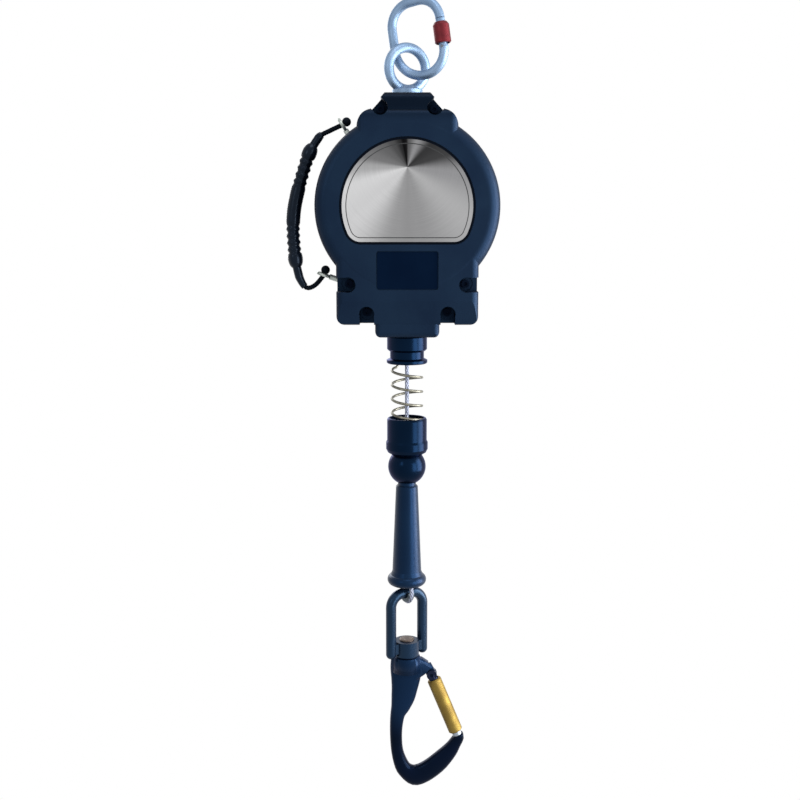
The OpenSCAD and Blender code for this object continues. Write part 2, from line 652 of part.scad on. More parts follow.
module spring_case() color("#8a94a0") at_hub() difference() {
  union() {
    bar_y(case_r, -case_y, -drum_out);
    bar_y(case_r + 8, -drum_out - 2, -drum_out);
  }
  bar_y(case_r - case_wall, -case_y + case_wall, -drum_out + 1);
  bar_y(arbor_r + 2, -case_y - 1, 0);
  case_holes() bar_y(1.5 + run, -case_y, 0);
}
module case_screws() color("#8894a4") at_hub() case_holes() {
  bar_y(1.5, -drum_out - 2, -drum_half);
  bar_y(2.8, -drum_out - 4, -drum_out - 2);
}
module spring_arbor() color("#7c8794") at_hub()
  tube_y(shaft_d / 2 + run, arbor_r, -case_y + case_wall, -drum_out - 0.6);
// Archimedean spiral strip, 18 points a turn
strip_r0 = arbor_r + 1.4;
strip_r1 = case_r - case_wall - strip_t - 1;
function spiral(off) = [for (i = [0:18 * strip_turns])
  (strip_r0 + off + (strip_r1 - strip_r0) * i / (18 * strip_turns)) * [cos(20 * i), sin(20 * i)]];
module power_spring() color("#5c6470") at_hub() slab(-drum_out - 1 - strip_w, -drum_out - 1)
  polygon(concat(spiral(0), [for (i = [18 * strip_turns:-1:0]) spiral(strip_t)[i]]));

// Brake and pawls
module brake_pressure_plate() color("#7c8794") at_hub()
  tube_y(shaft_d / 2 + run, lining_r, brake_y, brake_y + press_t);
module brake_lining_front() color("#5a4a3c") at_hub()
  tube_y(shaft_d / 2 + 3, lining_r, brake_y + press_t, ratchet_y);
module brake_lining_rear() color("#5a4a3c") at_hub()
  tube_y(shaft_d / 2 + 3, lining_r, ratchet_y + ratchet_t, disc_y);
module brake_disc_springs() color("#6c747e") at_hub() translate([0, disc_y, 0]) rotate([-90, 0, 0])
  rotate_extrude() polygon([
    [shaft_d / 2 + 1, frame_y - disc_y - 1.2], [shaft_d / 2 + 1, frame_y - disc_y],
    [lining_r - 6, 1.2], [lining_r - 6, 0]]);
module ratchet_disc() color("#8a94a0") at_hub() difference() {
  mirror([0, 0, 1]) slab(ratchet_y, ratchet_y + ratchet_t)
    polygon([for (i = [0:ratchet_teeth - 1]) let (a = 360 * i / ratchet_teeth + pawl_lead + 2)
    each [(ratchet_r - tooth_deep) * [cos(a), sin(a)], ratchet_r * [cos(a + 2), sin(a + 2)]]]);
  bar_y(shaft_d / 2 + run, ratchet_y - 1, ratchet_y + ratchet_t + 1);
}
// Pawls pivot on the rear flange, half a turn apart; drawn engaged, then swung back to rest
module pawl_places() for (a = [0, 180]) rotate([0, a, 0]) translate([pawl_pivot, 0, 0]) children();
pawl_tip = pawl_nose * [cos(pawl_lead), sin(pawl_lead)] - [pawl_pivot, 0];
pawl_side = unit([-pawl_tip.y, pawl_tip.x]);
module pawl_form() mirror([0, 0, 1]) rotate([0, pawl_swing, 0]) difference() {
  slab(ratchet_y + 0.3, ratchet_y + 0.3 + pawl_t) {
    circle(pawl_eye_r);
    polygon([pawl_side * 7, pawl_side * -7, pawl_tip - pawl_side * 5, pawl_tip]);
    polygon([for (p = [[-7, -22], [2, -26], [8, -20], [6, -5], [-5, -5]]) p * pawl_eye_r / 8]);
  }
  bar_y(pawl_pin_r + run, 0, frame_y);
}
module pawl_a() color("#6c747e") at_hub() translate([pawl_pivot, 0, 0]) pawl_form();
module pawl_b() color("#6c747e") at_hub() rotate([0, 180, 0]) translate([pawl_pivot, 0, 0]) pawl_form();
module pawl_pins() color("#8894a4") at_hub() pawl_places() {
  bar_y(pawl_pin_r, drum_half, ratchet_y + pawl_t + 1);
  bar_y(pawl_eye_r - 1, drum_out, ratchet_y);
}
module pawl_springs() color("#5c6470") at_hub() pawl_places() mirror([0, 0, 1])
  slab(drum_out, ratchet_y + pawl_t)
    polygon([for (p = [[-12, -28], [-10.5, -27], [-14, -18], [-16, -18]]) p * pawl_eye_r / 8]);

// Nozzle and wire
module nozzle() color("#0c1a33") under(tongue_down) difference() {
  rotate_extrude() polygon([
    [0, 19], [15, 19], [15, -0.3], [nozzle_d / 2 - 2, -0.3], [nozzle_d / 2, -2.3],
    [nozzle_d / 2, -nozzle_len * 0.5], [nozzle_d / 2 - 2, -nozzle_len * 0.56],
    [nozzle_d / 2 - 3.4, -nozzle_len * 0.58], [nozzle_d / 2 - 3.4, -nozzle_len * 0.82],
    [nozzle_flange_d / 2, -nozzle_len * 0.88], [nozzle_flange_d / 2, -nozzle_len + 1],
    [nozzle_flange_d / 2 - 1, -nozzle_len], [0, -nozzle_len]]);
  translate([0, 0, -9]) cylinder(r = 12 + run, h = 40);
  translate([0, 0, -nozzle_len - 1]) cylinder(r = 6.5 + run, h = nozzle_len);
}
module guide_bush() color("#d8d4c4") under(tongue_down) difference() {
  union() {
    translate([0, 0, -9]) cylinder(r = 12, h = 28);
    translate([0, 0, -nozzle_len + 1]) cylinder(r = 6.5, h = nozzle_len - 9);
  }
  translate([0, 0, -nozzle_len]) cylinder(r = wire_r + 0.9, h = nozzle_len + 30);
  cylinder(r1 = wire_r + 0.9, r2 = 10.5, h = 19.1);
}
module wire_inner_run() color("#9aa0ae") at_hub() let (p = smooth(run_route, 4))
  planar_tube(p, [for (q = p) wire_r], [for (q = p) wire_r], 8);

// Carry handle
module eyelet(at, shank, long) {
  eyelet_axis(at, shank) translate([0, 0, eyelet_r]) cylinder(r = 3, h = long - eyelet_r);
  eyelet_axis(at, shank) rotate([0, 90, 0]) rotate_extrude() translate([eyelet_r, 0]) circle(d = eyelet_rod);
}
module handle_eyelets() color("#b9c2bb") at_hub() {
  eyelet(upper_eyelet, upper_shank, upper_len);
  eyelet(lower_eyelet, lower_shank, lower_len);
}
module cord_stops() color("#16161c") at_hub() for (i = [0, len(cord_route) - 1])
  translate([cord_route[i].x, handle_y, cord_route[i].y]) sphere(r = stop_r);
cord_path = smooth(cord_route, 4);
module handle_cord() color("#0a0a12") at_hub() translate([0, handle_y, 0])
  planar_tube(cord_path, [for (p = cord_path) cord_d / 2], [for (p = cord_path) cord_d / 2], 8);
// Grip radius by share of its length: thin ends, a bulge, four ribs, a smooth middle
function grip_r(s) = let (e = min(s, 1 - s))
  e < 0.07 ? grip_end_d / 2
  : e < 0.17 ? grip_end_d / 2 + (grip_bulge_d - grip_end_d) / 2 * sqrt(sin((e - 0.07) / 0.12 * 180))
  : e < 0.36 ? grip_mid_d / 2 - 0.9 - 0.8 * cos((e - 0.17) / 0.0475 * 360)
  : grip_mid_d / 2 - 0.9 + 0.9 * min(1, (e - 0.36) / 0.02);
grip_rings = 105;
module handle_grip() color("#0a0a12") at_hub() translate([0, handle_y, 0])
  let (fine = smooth([for (i = [3:11]) cord_route[i]], 12), s = along(fine), l = s[len(s) - 1],
    p = [for (i = [0:grip_rings]) let (at = l * i / grip_rings) [
      lookup(at, [for (k = [0:len(s) - 1]) [s[k], fine[k].x]]),
      lookup(at, [for (k = [0:len(s) - 1]) [s[k], fine[k].y]])]],
    r = [for (i = [0:grip_rings]) grip_r(i / grip_rings)])
  planar_tube(p, r, r, 12);

// Bumper, stop and sleeve on the line
bumper_line = coil_path((bumper_d - bumper_wire) / 2, bumper_turns, bumper_len, bumper_wire, 16);
bumper_points = [for (p = bumper_line) [p.x, -p.y, p.z]];
echo(bumper_gap = coil_gap(bumper_points, bumper_wire, 16));
module lifeline_wire() color("#9aa0ae") under(ferrule_top)
  cylinder(r = wire_r, h = ferrule_top - nozzle_bot + 2.5);
module bumper_spring() color("#6a6a60") under(bumper_top + bumper_len) rotate([0, 0, bumper_set])
  coil_tube(bumper_points, bumper_wire, 8);
module spring_cup() color("#0c1a33") under(cup_foot) difference() {
  rotate_extrude() polygon([
    [0, 0], [cup_d / 2 - 5, 0], [cup_d / 2 - 0.6, 2.8], [cup_d / 2 + 1.2, 6.5], [cup_d / 2 + 1.2, 14],
    [cup_d / 2, 16.5], [cup_d / 2, cup_h - 2], [cup_d / 2 - 0.8, cup_h - 0.5],
    [cup_d / 2 - cup_wall / 2, cup_h], [0, cup_h]]);
  translate([0, 0, cup_h - cup_deep]) cylinder(r = cup_d / 2 - cup_wall, h = cup_deep + 1);
  translate([0, 0, -1]) cylinder(r = wire_bore, h = cup_h + 2);
}
module ball_stop() color("#0c1a33") under(ball_top + ball_h * 0.44) difference() {
  intersection() {
    sphere(d = ball_d);
    translate([0, 0, -ball_h * 0.56]) cylinder(d = ball_d + 2, h = ball_h);
  }
  translate([0, 0, -ball_d]) cylinder(r = wire_bore, h = 2 * ball_d);
}
module grip_sleeve() color("#101c34") under(sleeve_foot) difference() {
  union() {
    rotate_extrude() polygon([
      [0, sleeve_len], [sleeve_top_d / 2 - 2.2, sleeve_len], [sleeve_top_d / 2 - 2.2, sleeve_len - 4],
      [sleeve_top_d / 2 - 0.8, sleeve_len - 4.2], [sleeve_top_d / 2, sleeve_len - 5.4],
      [sleeve_bot_d / 2, sleeve_flange_t + 4], [sleeve_bot_d / 2 + 2, sleeve_flange_t - 1],
      [sleeve_flange_d / 2 - 4, sleeve_flange_t - 2], [sleeve_flange_d / 2 - 4, 1], [0, 1]]);
    translate([0, 0, sleeve_flange_t / 2]) rotate_extrude()
      translate([sleeve_flange_d / 2 - sleeve_flange_t / 2, 0]) circle(d = sleeve_flange_t);
  }
  translate([0, 0, -1]) cylinder(r = wire_bore, h = sleeve_len + 2);
  translate([0, 0, 30]) cylinder(r = 9.5, h = 26);
  translate([0, 0, -0.01]) cylinder(r1 = loop_r + wire_r + 1.2, r2 = 9.5, h = 30.02);
}
module in_loop(z) under(z) rotate([0, 0, loop_turn]) children();
module wire_ferrule() color("#a8aeb6") in_loop(ferrule_foot) {
  for (s = [-1, 1]) translate([s * strand_x, 0, 0]) cylinder(r = 4.6, h = ferrule_len);
  box([-strand_x, strand_x], [-4.6, 4.6], [0, ferrule_len]);
}
loop_side = [
  [strand_x, loop_z - ferrule_foot - 0.3], [strand_x, loop_z - ferrule_foot - wire_d],
  [strand_x + 2, 24], [loop_r - 1, 9]];
loop_path = smooth(concat(loop_side, [for (a = [0:-30:-180]) loop_r * [cos(a), sin(a)]],
  [for (i = [len(loop_side) - 1:-1:0]) [-loop_side[i].x, loop_side[i].y]]), 3);
module wire_eye() color("#9aa6b4") in_loop(loop_z)
  planar_tube(loop_path, [for (p = loop_path) wire_r], [for (p = loop_path) wire_r], 8);
module wire_thimble() color("#9aa6b4") in_loop(loop_z) rotate([90, 0, 0]) rotate([0, 0, 172])
rotate_extrude(angle = 196) difference() {
  translate([thimble_r, -wire_r - 1.1]) square([thimble_wall + wire_r, wire_d + 2.2]);
  translate([loop_r, 0]) circle(r = wire_r + slip);
}

// Hook
module in_bow() under(bow_z) rotate([0, 0, bow_turn]) children();
module hook_bow() color("#0c1a33") difference() {
  in_bow() {
    rod_across(0, -bow_x + bow_bend, bow_x - bow_bend, bow_rod);
    rod_bend([bow_x - bow_bend, -bow_bend], bow_bend, 0, 90, bow_rod);
    rod_bend([-bow_x + bow_bend, -bow_bend], bow_bend, 90, 90, bow_rod);
    both_x() rod_up(bow_x, -bow_len, -bow_bend, bow_rod);
    both_x() translate([bow_x, 0, -bow_len]) sphere(d = bow_rod);
    box([-bow_x, bow_x], [-bow_rod / 2 + 1, bow_rod / 2 - 1], [-bow_len, bow_foot - hub_top - bow_len - 1.5]);
    translate([0, 0, -bow_len - hub_foot + bow_foot]) cylinder(d = hub_d, h = hub_h);
  }
  under(hub_foot + 1) cylinder(d = pin_d + 2 * run, h = hub_h + 2);
}
module swivel_washer() color("#9a8a5c") under(hub_foot + washer_gap) difference() {
  cylinder(d = hub_d - 2, h = washer_gap);
  translate([0, 0, -1]) cylinder(d = pin_d + 2 * slip, h = washer_gap + 2);
}
pin_deep = 15;
module swivel_pin() color("#4a403c") {
  under(hook_top + pin_deep) cylinder(d = pin_d, h = hook_top + pin_deep - hub_top + 1);
  under(hub_top - 0.2) rotate_extrude() polygon([
    [0, 0], [pin_head_d / 2, 0], [pin_head_d / 2, 1.2], [pin_head_d / 2 - 1.5, 2.4], [0, 2.8]]);
}
hook_path = smooth([for (p = hook_line) [p.x, p.y]], 3);
hook_wide = smooth([for (p = hook_line) [p[2], 0]], 3);
module in_hook() under(hook_top) children();
module in_arm() in_hook() translate([gate_at.x, 0, gate_at.y]) rotate([0, 180 - gate_slope, 0]) children();
// Boss under the swivel: round at the top, then the forging's own section
module hook_body() color("#0a1020") difference() {
  union() {
    in_hook() {
      planar_tube(hook_path, [for (w = hook_wide) w.x], [for (w = hook_wide) hook_y], 16, 0.75);
      slab(1 - hook_y, hook_y - 1) polygon(hook_head);
      translate([0, 0, -18]) cylinder(d1 = hub_d + 6, d2 = hub_d + 2, h = 18);
    }
    in_arm() slab(-arm_tang / 2, arm_tang / 2) {
      circle(arm_knuckle - 0.3);
      polygon([[-4, -13], [7, -15], [arm_knuckle - 0.3, 0], [0.3 - arm_knuckle, 0]]);
    }
  }
  in_hook() translate([0, 0, -pin_deep]) cylinder(d = pin_d + 2 * run, h = pin_deep + 1);
  in_arm() box([-14, 14], [-14, 14], [arm_len - 12, arm_len + nose_gap]);
  in_arm() bar_y(arm_pin_r + run, -hook_y - 2, hook_y + 2);
  in_arm() for (s = [0, 1]) mirror([0, s, 0]) bar_y(arm_knuckle + 0.5, arm_tang / 2, hook_y + 2);
}
module hook_gate_pin() color("#8894a4") in_arm() bar_y(arm_pin_r, -gate_d / 2 + 0.3, gate_d / 2 - 0.3);
module hook_gate() color("#3c4654") in_arm() difference() {
  union() {
    cylinder(d = gate_d, h = arm_len);
    bar_y(arm_knuckle, -gate_d / 2 + 0.5, gate_d / 2 - 0.5);
  }
  box([-big, big], [-arm_tang / 2 - slip, arm_tang / 2 + slip], [-big, arm_knuckle + 1]);
  bar_y(arm_pin_r + run, -big, big);
}
module hook_gate_sleeve() color("#d9b347") in_arm() translate([0, 0, lock_start]) difference() {
  rotate_extrude() polygon([
    [0, 0], [lock_d / 2 - 1.5, 0], [lock_d / 2, 1.5], [lock_d / 2, lock_len - 1.5],
    [lock_d / 2 - 1.5, lock_len], [0, lock_len]]);
  translate([0, 0, -1]) cylinder(d = gate_d + 2 * slip, h = lock_len + 2);
}

carabiner_body();
carabiner_gate_pin();
carabiner_gate();
carabiner_sleeve();
swivel_eye();
eye_washer();
eye_nut();
front_cover();
rear_cover();
face_plate();
label_plate();
cover_bolts();
cover_nuts();
anchor_block();
front_load_plate();
rear_load_plate();
frame_rivets();
main_shaft();
shaft_nuts();
spring_arbor();
brake_pressure_plate();
brake_lining_front();
brake_lining_rear();
brake_disc_springs();
ratchet_disc();
drum();
drum_bushes();
winding_core();
wire_winding();
spring_case();
case_screws();
power_spring();
pawl_pins();
pawl_springs();
pawl_a();
pawl_b();
nozzle();
guide_bush();
wire_inner_run();
handle_eyelets();
handle_cord();
cord_stops();
handle_grip();
lifeline_wire();
bumper_spring();
spring_cup();
ball_stop();
grip_sleeve();
wire_ferrule();
wire_eye();
wire_thimble();
hook_bow();
swivel_washer();
swivel_pin();
hook_body();
hook_gate_pin();
hook_gate();
hook_gate_sleeve();
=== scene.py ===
"""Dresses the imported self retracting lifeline: finishes, wire rope, spring, handle and studio."""

import json
import math

import bmesh
import bpy
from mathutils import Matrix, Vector


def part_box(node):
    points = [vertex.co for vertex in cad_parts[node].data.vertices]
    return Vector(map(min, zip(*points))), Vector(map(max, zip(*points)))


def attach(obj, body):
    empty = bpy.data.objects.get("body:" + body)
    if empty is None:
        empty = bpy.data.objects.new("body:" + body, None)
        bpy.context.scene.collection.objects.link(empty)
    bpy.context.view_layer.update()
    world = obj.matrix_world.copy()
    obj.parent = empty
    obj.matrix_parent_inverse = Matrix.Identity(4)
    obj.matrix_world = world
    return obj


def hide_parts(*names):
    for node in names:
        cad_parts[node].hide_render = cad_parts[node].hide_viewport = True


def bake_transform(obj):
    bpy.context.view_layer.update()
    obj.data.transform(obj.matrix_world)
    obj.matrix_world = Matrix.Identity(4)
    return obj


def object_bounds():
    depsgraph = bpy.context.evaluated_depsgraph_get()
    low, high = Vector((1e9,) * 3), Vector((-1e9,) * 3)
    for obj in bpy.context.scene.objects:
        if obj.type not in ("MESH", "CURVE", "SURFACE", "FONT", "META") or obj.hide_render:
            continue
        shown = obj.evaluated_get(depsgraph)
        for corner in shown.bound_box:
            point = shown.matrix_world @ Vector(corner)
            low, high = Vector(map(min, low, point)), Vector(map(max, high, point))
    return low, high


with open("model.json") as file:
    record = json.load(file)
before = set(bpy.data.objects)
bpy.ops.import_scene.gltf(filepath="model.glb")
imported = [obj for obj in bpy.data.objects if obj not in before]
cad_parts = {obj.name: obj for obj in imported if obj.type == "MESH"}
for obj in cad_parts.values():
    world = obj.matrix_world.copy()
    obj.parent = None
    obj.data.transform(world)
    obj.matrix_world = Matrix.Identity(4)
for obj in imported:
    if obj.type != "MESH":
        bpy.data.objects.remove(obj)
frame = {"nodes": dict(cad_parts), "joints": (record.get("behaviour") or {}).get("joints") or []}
CAD_BOX = [list(corner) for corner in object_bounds()]

bl_info = {
    "name": "Self retracting lifeline",
    "version": (1, 0, 0),
    "blender": (4, 5, 0),
    "location": "View3D > Sidebar > Lifeline",
    "description": "Finishes and soft pieces of a hanging fall arrester",
    "category": "Object",
}

MM = 0.001
# Vertices closer than this are one
MERGE = 0.001 * MM
NODES = frame["nodes"]
JOINTS = {joint["name"]: joint for joint in frame["joints"]}
DRUM_Z = JOINTS["drum_spin"]["pos_m"][2]
WHITE = "#ffffff"
ACROSS = Vector((0, 1, 0))

# Sockets of the Mix node in its colour mode, which share their names with those of other modes
MIX_A, MIX_B, MIX_OUT = 6, 7, 2

# Light of the white world on the object, where the camera sees a strength of 1
WORLD_LEVEL = 0.3
# Half the floor's width, and the room under the hook at the line's full reach
FLOOR_HALF, FLOOR_GAP = 20, 0.25
# Each lamp's name, place, width and height in metres, and watts
LAMPS = (
    ("window_right", (1.3, -0.1, -0.35), (0.8, 1.3), 33),
    ("front_right", (1.2, -1.05, -0.45), (0.75, 1.3), 21),
    ("front_left", (-1.2, -1.7, 0.4), (0.4, 0.6), 4),
    ("top", (0.2, -0.5, 1.0), (0.8, 0.6), 6),
    ("back", (-0.8, 1.6, 0.2), (1.2, 1.2), 12),
)
LAMP_AIM = Vector((0, 0, -0.4))
# The camera's place, its tilt from straight down, and its lens and sensor in millimetres
CAMERA_AT = (-7.9 * MM, -1249.4 * MM, -226.9 * MM)
CAMERA_TILT = math.radians(81)
LENS, SENSOR = 50.36, 36

# The face plate's radius, the drop from the drum's axis to its flat, and its corners' radius
PLATE_R, PLATE_FLAT, PLATE_CORNER = 71 * MM, 38.5 * MM, 16.5 * MM
# Point about which the plate is brushed, and the step of its scratch rings, coarse enough to show
BRUSH_CENTRE = (0, 0, DRUM_Z + 41 * MM)
SCRATCH = 0.6 * MM
# Painted reflection of the brushing: colour by direction from that point, from straight down
# clockwise
BRUSH_REFLECTION_FAN = (
    (0.0, "#8f8f90"),
    (0.03, "#939394"),
    (0.13, "#cdcdce"),
    (0.2, "#d8d8d9"),
    (0.25, "#a9a9aa"),
    (0.29, "#777778"),
    (0.36, "#666667"),
    (0.41, "#505051"),
    (0.455, "#2c2c2d"),
    (0.472, "#101011"),
    (0.492, "#161617"),
    (0.51, "#59595a"),
    (0.56, "#88888a"),
    (0.63, "#373738"),
    (0.7, "#424243"),
    (0.77, "#959597"),
    (0.86, "#b3b3b4"),
    (0.97, "#939394"),
    (1.0, "#8f8f90"),
)

# Route of the carry cord as x and z from the drum's axis in millimetres, and the plane it lies in
CORD_ROUTE = (
    (-65.8, 90.6),
    (-70.5, 87.5),
    (-83.5, 81.5),
    (-96, 74.5),
    (-106, 59),
    (-113, 40),
    (-119.5, 18),
    (-124, -2.5),
    (-125.5, -23),
    (-124.5, -45),
    (-122.5, -62),
    (-119.5, -76),
    (-112, -88),
    (-102, -85.5),
    (-92, -74),
    (-90.2, -68.7),
)
CORD_Y = -5 * MM
# Each end of the grip: its point of the route, the way out along the cord, and the steps it runs on
GRIP_ENDS = ((3, -1, 3), (11, 1, 9))


class LifelineSizes(bpy.types.PropertyGroup):
    """Sizes of the pieces that are made here."""

    rope_d: bpy.props.FloatProperty(
        name="Wire rope", description="Diameter of the wire rope", default=4.8 * MM, unit="LENGTH"
    )
    rope_lay: bpy.props.FloatProperty(
        name="Rope lay",
        description="Length of one turn of a strand",
        default=30 * MM,
        unit="LENGTH",
    )
    rope_strands: bpy.props.IntProperty(
        name="Rope strands", description="Outer strands of the rope", default=6, min=3, max=8
    )
    bumper_d: bpy.props.FloatProperty(
        name="Bumper spring",
        description="Outer diameter of the bumper spring",
        default=36.8 * MM,
        unit="LENGTH",
    )
    bumper_wire: bpy.props.FloatProperty(
        name="Bumper wire",
        description="Wire diameter of the bumper spring",
        default=3 * MM,
        unit="LENGTH",
    )
    bumper_turns: bpy.props.FloatProperty(
        name="Bumper turns", description="Turns of the bumper spring", default=4.25
    )
    cord_d: bpy.props.FloatProperty(
        name="Carry cord", description="Diameter of the carry cord", default=5.5 * MM, unit="LENGTH"
    )
    cord_strands: bpy.props.IntProperty(
        name="Cord strands", description="Outer strands of the carry cord", default=6, min=3, max=8
    )
    cord_lay: bpy.props.FloatProperty(
        name="Cord lay",
        description="Length of one turn of the carry cord's strands",
        default=16 * MM,
        unit="LENGTH",
    )
    border_in: bpy.props.FloatProperty(
        name="Border",
        description="Distance of the plate's border from its edge",
        default=5 * MM,
        unit="LENGTH",
    )


class LifelineColours(bpy.types.PropertyGroup):
    """Colours that a user would change, as sRGB hex text."""

    case: bpy.props.StringProperty(
        name="Case", description="Powder coat of the housing", default="#19283b"
    )
    line: bpy.props.StringProperty(
        name="Line parts", description="Coat of nozzle, cup and ball", default="#071527"
    )
    bow: bpy.props.StringProperty(
        name="Hook bow", description="Coat of the swivel bow", default="#0f1d30"
    )
    sleeve: bpy.props.StringProperty(
        name="Grip sleeve", description="Moulded grip sleeve", default="#0e1c2e"
    )
    hook: bpy.props.StringProperty(
        name="Hook", description="Coat of the hook forging", default="#060d20"
    )
    screw: bpy.props.StringProperty(
        name="Screw sleeve", description="Anodised screw sleeve", default="#701f28"
    )
    lock: bpy.props.StringProperty(
        name="Locking sleeve", description="Anodised locking sleeve", default="#8c7636"
    )


def linear(text):
    """Turns sRGB hex text into linear red, green, blue and alpha."""
    parts = [int(text[i : i + 2], 16) / 255 for i in (1, 3, 5)]
    return [c / 12.92 if c <= 0.04045 else ((c + 0.055) / 1.055) ** 2.4 for c in parts] + [1.0]


def add(tree, kind, values=None, links=None, stops=None, **settings):
    """Adds one node with its settings, socket values, links and colour stops."""
    made = tree.nodes.new(kind)
    for key, value in settings.items():
        setattr(made, key, value)
    for key, value in (values or {}).items():
        made.inputs[key].default_value = value
    for key, source in (links or {}).items():
        tree.links.new(source, made.inputs[key])
    if stops:
        elements = made.color_ramp.elements
        while len(elements) < len(stops):
            elements.new(0.5)
        for element, (place, colour) in zip(elements, stops):
            element.position = place
            element.color = linear(colour)
    return made


def finish(name, **constants):
    """Starts a named material and returns it with its tree, shader and object coordinates."""
    material = bpy.data.materials.new(name)
    material.use_nodes = True
    tree = material.node_tree
    shader = next(n for n in tree.nodes if n.type == "BSDF_PRINCIPLED")
    for key, value in constants.items():
        shader.inputs[key.replace("_", " ")].default_value = value
    place = add(tree, "ShaderNodeTexCoord").outputs["Object"]
    return material, tree, shader, place


def worked(tree, shader, place, rough, gloss_mm, bump_mm, strength, depth):
    """Marks a surface by its making: gloss between two roughnesses, in patches, and fine bumps."""
    patches = add(
        tree, "ShaderNodeTexNoise", {"Scale": 1000 / gloss_mm, "Detail": 3.0}, {"Vector": place}
    )
    spread = add(
        tree,
        "ShaderNodeMapRange",
        {"To Min": rough[0], "To Max": rough[1]},
        {"Value": patches.outputs["Fac"]},
    )
    tree.links.new(spread.outputs["Result"], shader.inputs["Roughness"])
    grit = add(
        tree, "ShaderNodeTexNoise", {"Scale": 1000 / bump_mm, "Detail": 2.0}, {"Vector": place}
    )
    bump = add(
        tree,
        "ShaderNodeBump",
        {"Strength": strength, "Distance": depth},
        {"Height": grit.outputs["Fac"]},
    )
    tree.links.new(bump.outputs["Normal"], shader.inputs["Normal"])


def coated(name, colour, deep, rough, peel_mm, peel, upper=None, **constants):
    """A coat, moulding or weave: tone that wanders over the piece, and peel or grain of that size.

    Where upper gives a colour and two heights, the tone turns to that colour between them.
    """
    material, tree, shader, place = finish(name, **constants)
    cloud_mm = 45
    clouds = add(
        tree, "ShaderNodeTexNoise", {"Scale": 1000 / cloud_mm, "Detail": 3.0}, {"Vector": place}
    )
    tone = add(
        tree,
        "ShaderNodeValToRGB",
        links={"Fac": clouds.outputs["Fac"]},
        stops=[(0.3, deep), (0.62, colour)],
    ).outputs["Color"]
    if upper:
        above, low, high = upper
        height = add(tree, "ShaderNodeSeparateXYZ", links={0: place}).outputs["Z"]
        share = add(
            tree,
            "ShaderNodeMapRange",
            {"From Min": low, "From Max": high},
            {"Value": height},
            interpolation_type="SMOOTHSTEP",
        )
        tone = add(
            tree,
            "ShaderNodeMix",
            {MIX_B: linear(above)},
            {"Factor": share.outputs["Result"], MIX_A: tone},
            data_type="RGBA",
        ).outputs[MIX_OUT]
    tree.links.new(tone, shader.inputs["Base Color"])
    worked(
        tree,
        shader,
        place,
        rough=(rough - 0.05, rough + 0.06),
        gloss_mm=12,
        bump_mm=peel_mm,
        strength=peel,
        depth=0.4 * MM,
    )
    return material


def plated(name, bright, dull, rough, spangle_mm):
    """A plated or bare metal: faint spangle in the tone, and handling marks in the gloss."""
    material, tree, shader, place = finish(name, Metallic=0.75)
    cells = add(
        tree,
        "ShaderNodeTexVoronoi",
        {"Scale": 1000 / spangle_mm},
        {"Vector": place},
        feature="SMOOTH_F1",
    )
    tone = add(
        tree,
        "ShaderNodeValToRGB",
        links={"Fac": cells.outputs["Distance"]},
        stops=[(0.1, bright), (0.75, dull)],
    )
    tree.links.new(tone.outputs["Color"], shader.inputs["Base Color"])
    worked(
        tree,
        shader,
        place,
        rough=(rough - 0.07, rough + 0.1),
        gloss_mm=5,
        bump_mm=3,
        strength=0.05,
        depth=0.2 * MM,
    )
    return material


def brushed_stainless():
    """Stainless sheet spin-brushed about a point above the drum: fine rings, fan of painted
    reflection.
    """
    material, tree, shader, place = finish(
        "Spin-brushed stainless steel", Metallic=1.0, Anisotropic=0.65
    )
    out = add(
        tree, "ShaderNodeVectorMath", {1: BRUSH_CENTRE}, {0: place}, operation="SUBTRACT"
    ).outputs[0]
    flat = add(
        tree, "ShaderNodeVectorMath", {1: (1, 0, 1)}, {0: out}, operation="MULTIPLY"
    ).outputs[0]
    around = add(
        tree, "ShaderNodeVectorMath", {1: ACROSS}, {0: flat}, operation="CROSS_PRODUCT"
    ).outputs[0]
    along = add(tree, "ShaderNodeVectorMath", links={0: around}, operation="NORMALIZE")
    tree.links.new(along.outputs[0], shader.inputs["Tangent"])

    radius = add(tree, "ShaderNodeVectorMath", links={0: flat}, operation="LENGTH").outputs["Value"]
    split = add(tree, "ShaderNodeSeparateXYZ", links={0: flat}).outputs
    angle = add(
        tree, "ShaderNodeMath", links={0: split["X"], 1: split["Z"]}, operation="ARCTAN2"
    ).outputs[0]
    share = add(
        tree,
        "ShaderNodeMapRange",
        {"From Min": -math.pi, "From Max": math.pi},
        {"Value": angle},
    ).outputs["Result"]
    # The fan is painted reflection: the brushing's bright and dark streaks drawn into the colour
    reflection_fan = add(tree, "ShaderNodeValToRGB", links={"Fac": share}, stops=BRUSH_REFLECTION_FAN)
    reflection_fan.color_ramp.interpolation = "EASE"

    ring = add(tree, "ShaderNodeCombineXYZ", links={"X": radius, "Y": share}).outputs[0]
    lines = add(
        tree, "ShaderNodeMapping", {"Scale": (1 / SCRATCH, 6, 1)}, {"Vector": ring}
    ).outputs[0]
    scratch = add(
        tree, "ShaderNodeTexNoise", {"Scale": 1.0, "Detail": 4.0}, {"Vector": lines}
    ).outputs["Fac"]
    shade = add(tree, "ShaderNodeMapRange", {"To Min": 0.82, "To Max": 1.1}, {"Value": scratch})
    tone = add(
        tree,
        "ShaderNodeMix",
        {"Factor": 1.0},
        {MIX_A: reflection_fan.outputs["Color"], MIX_B: shade.outputs["Result"]},
        data_type="RGBA",
        blend_type="MULTIPLY",
    )
    tree.links.new(tone.outputs[MIX_OUT], shader.inputs["Base Color"])
    gloss = add(tree, "ShaderNodeMapRange", {"To Min": 0.3, "To Max": 0.44}, {"Value": scratch})
    tree.links.new(gloss.outputs["Result"], shader.inputs["Roughness"])
    bump = add(
        tree, "ShaderNodeBump", {"Strength": 0.1, "Distance": 0.1 * MM}, {"Height": scratch}
    )
    tree.links.new(bump.outputs["Normal"], shader.inputs["Normal"])
    return material


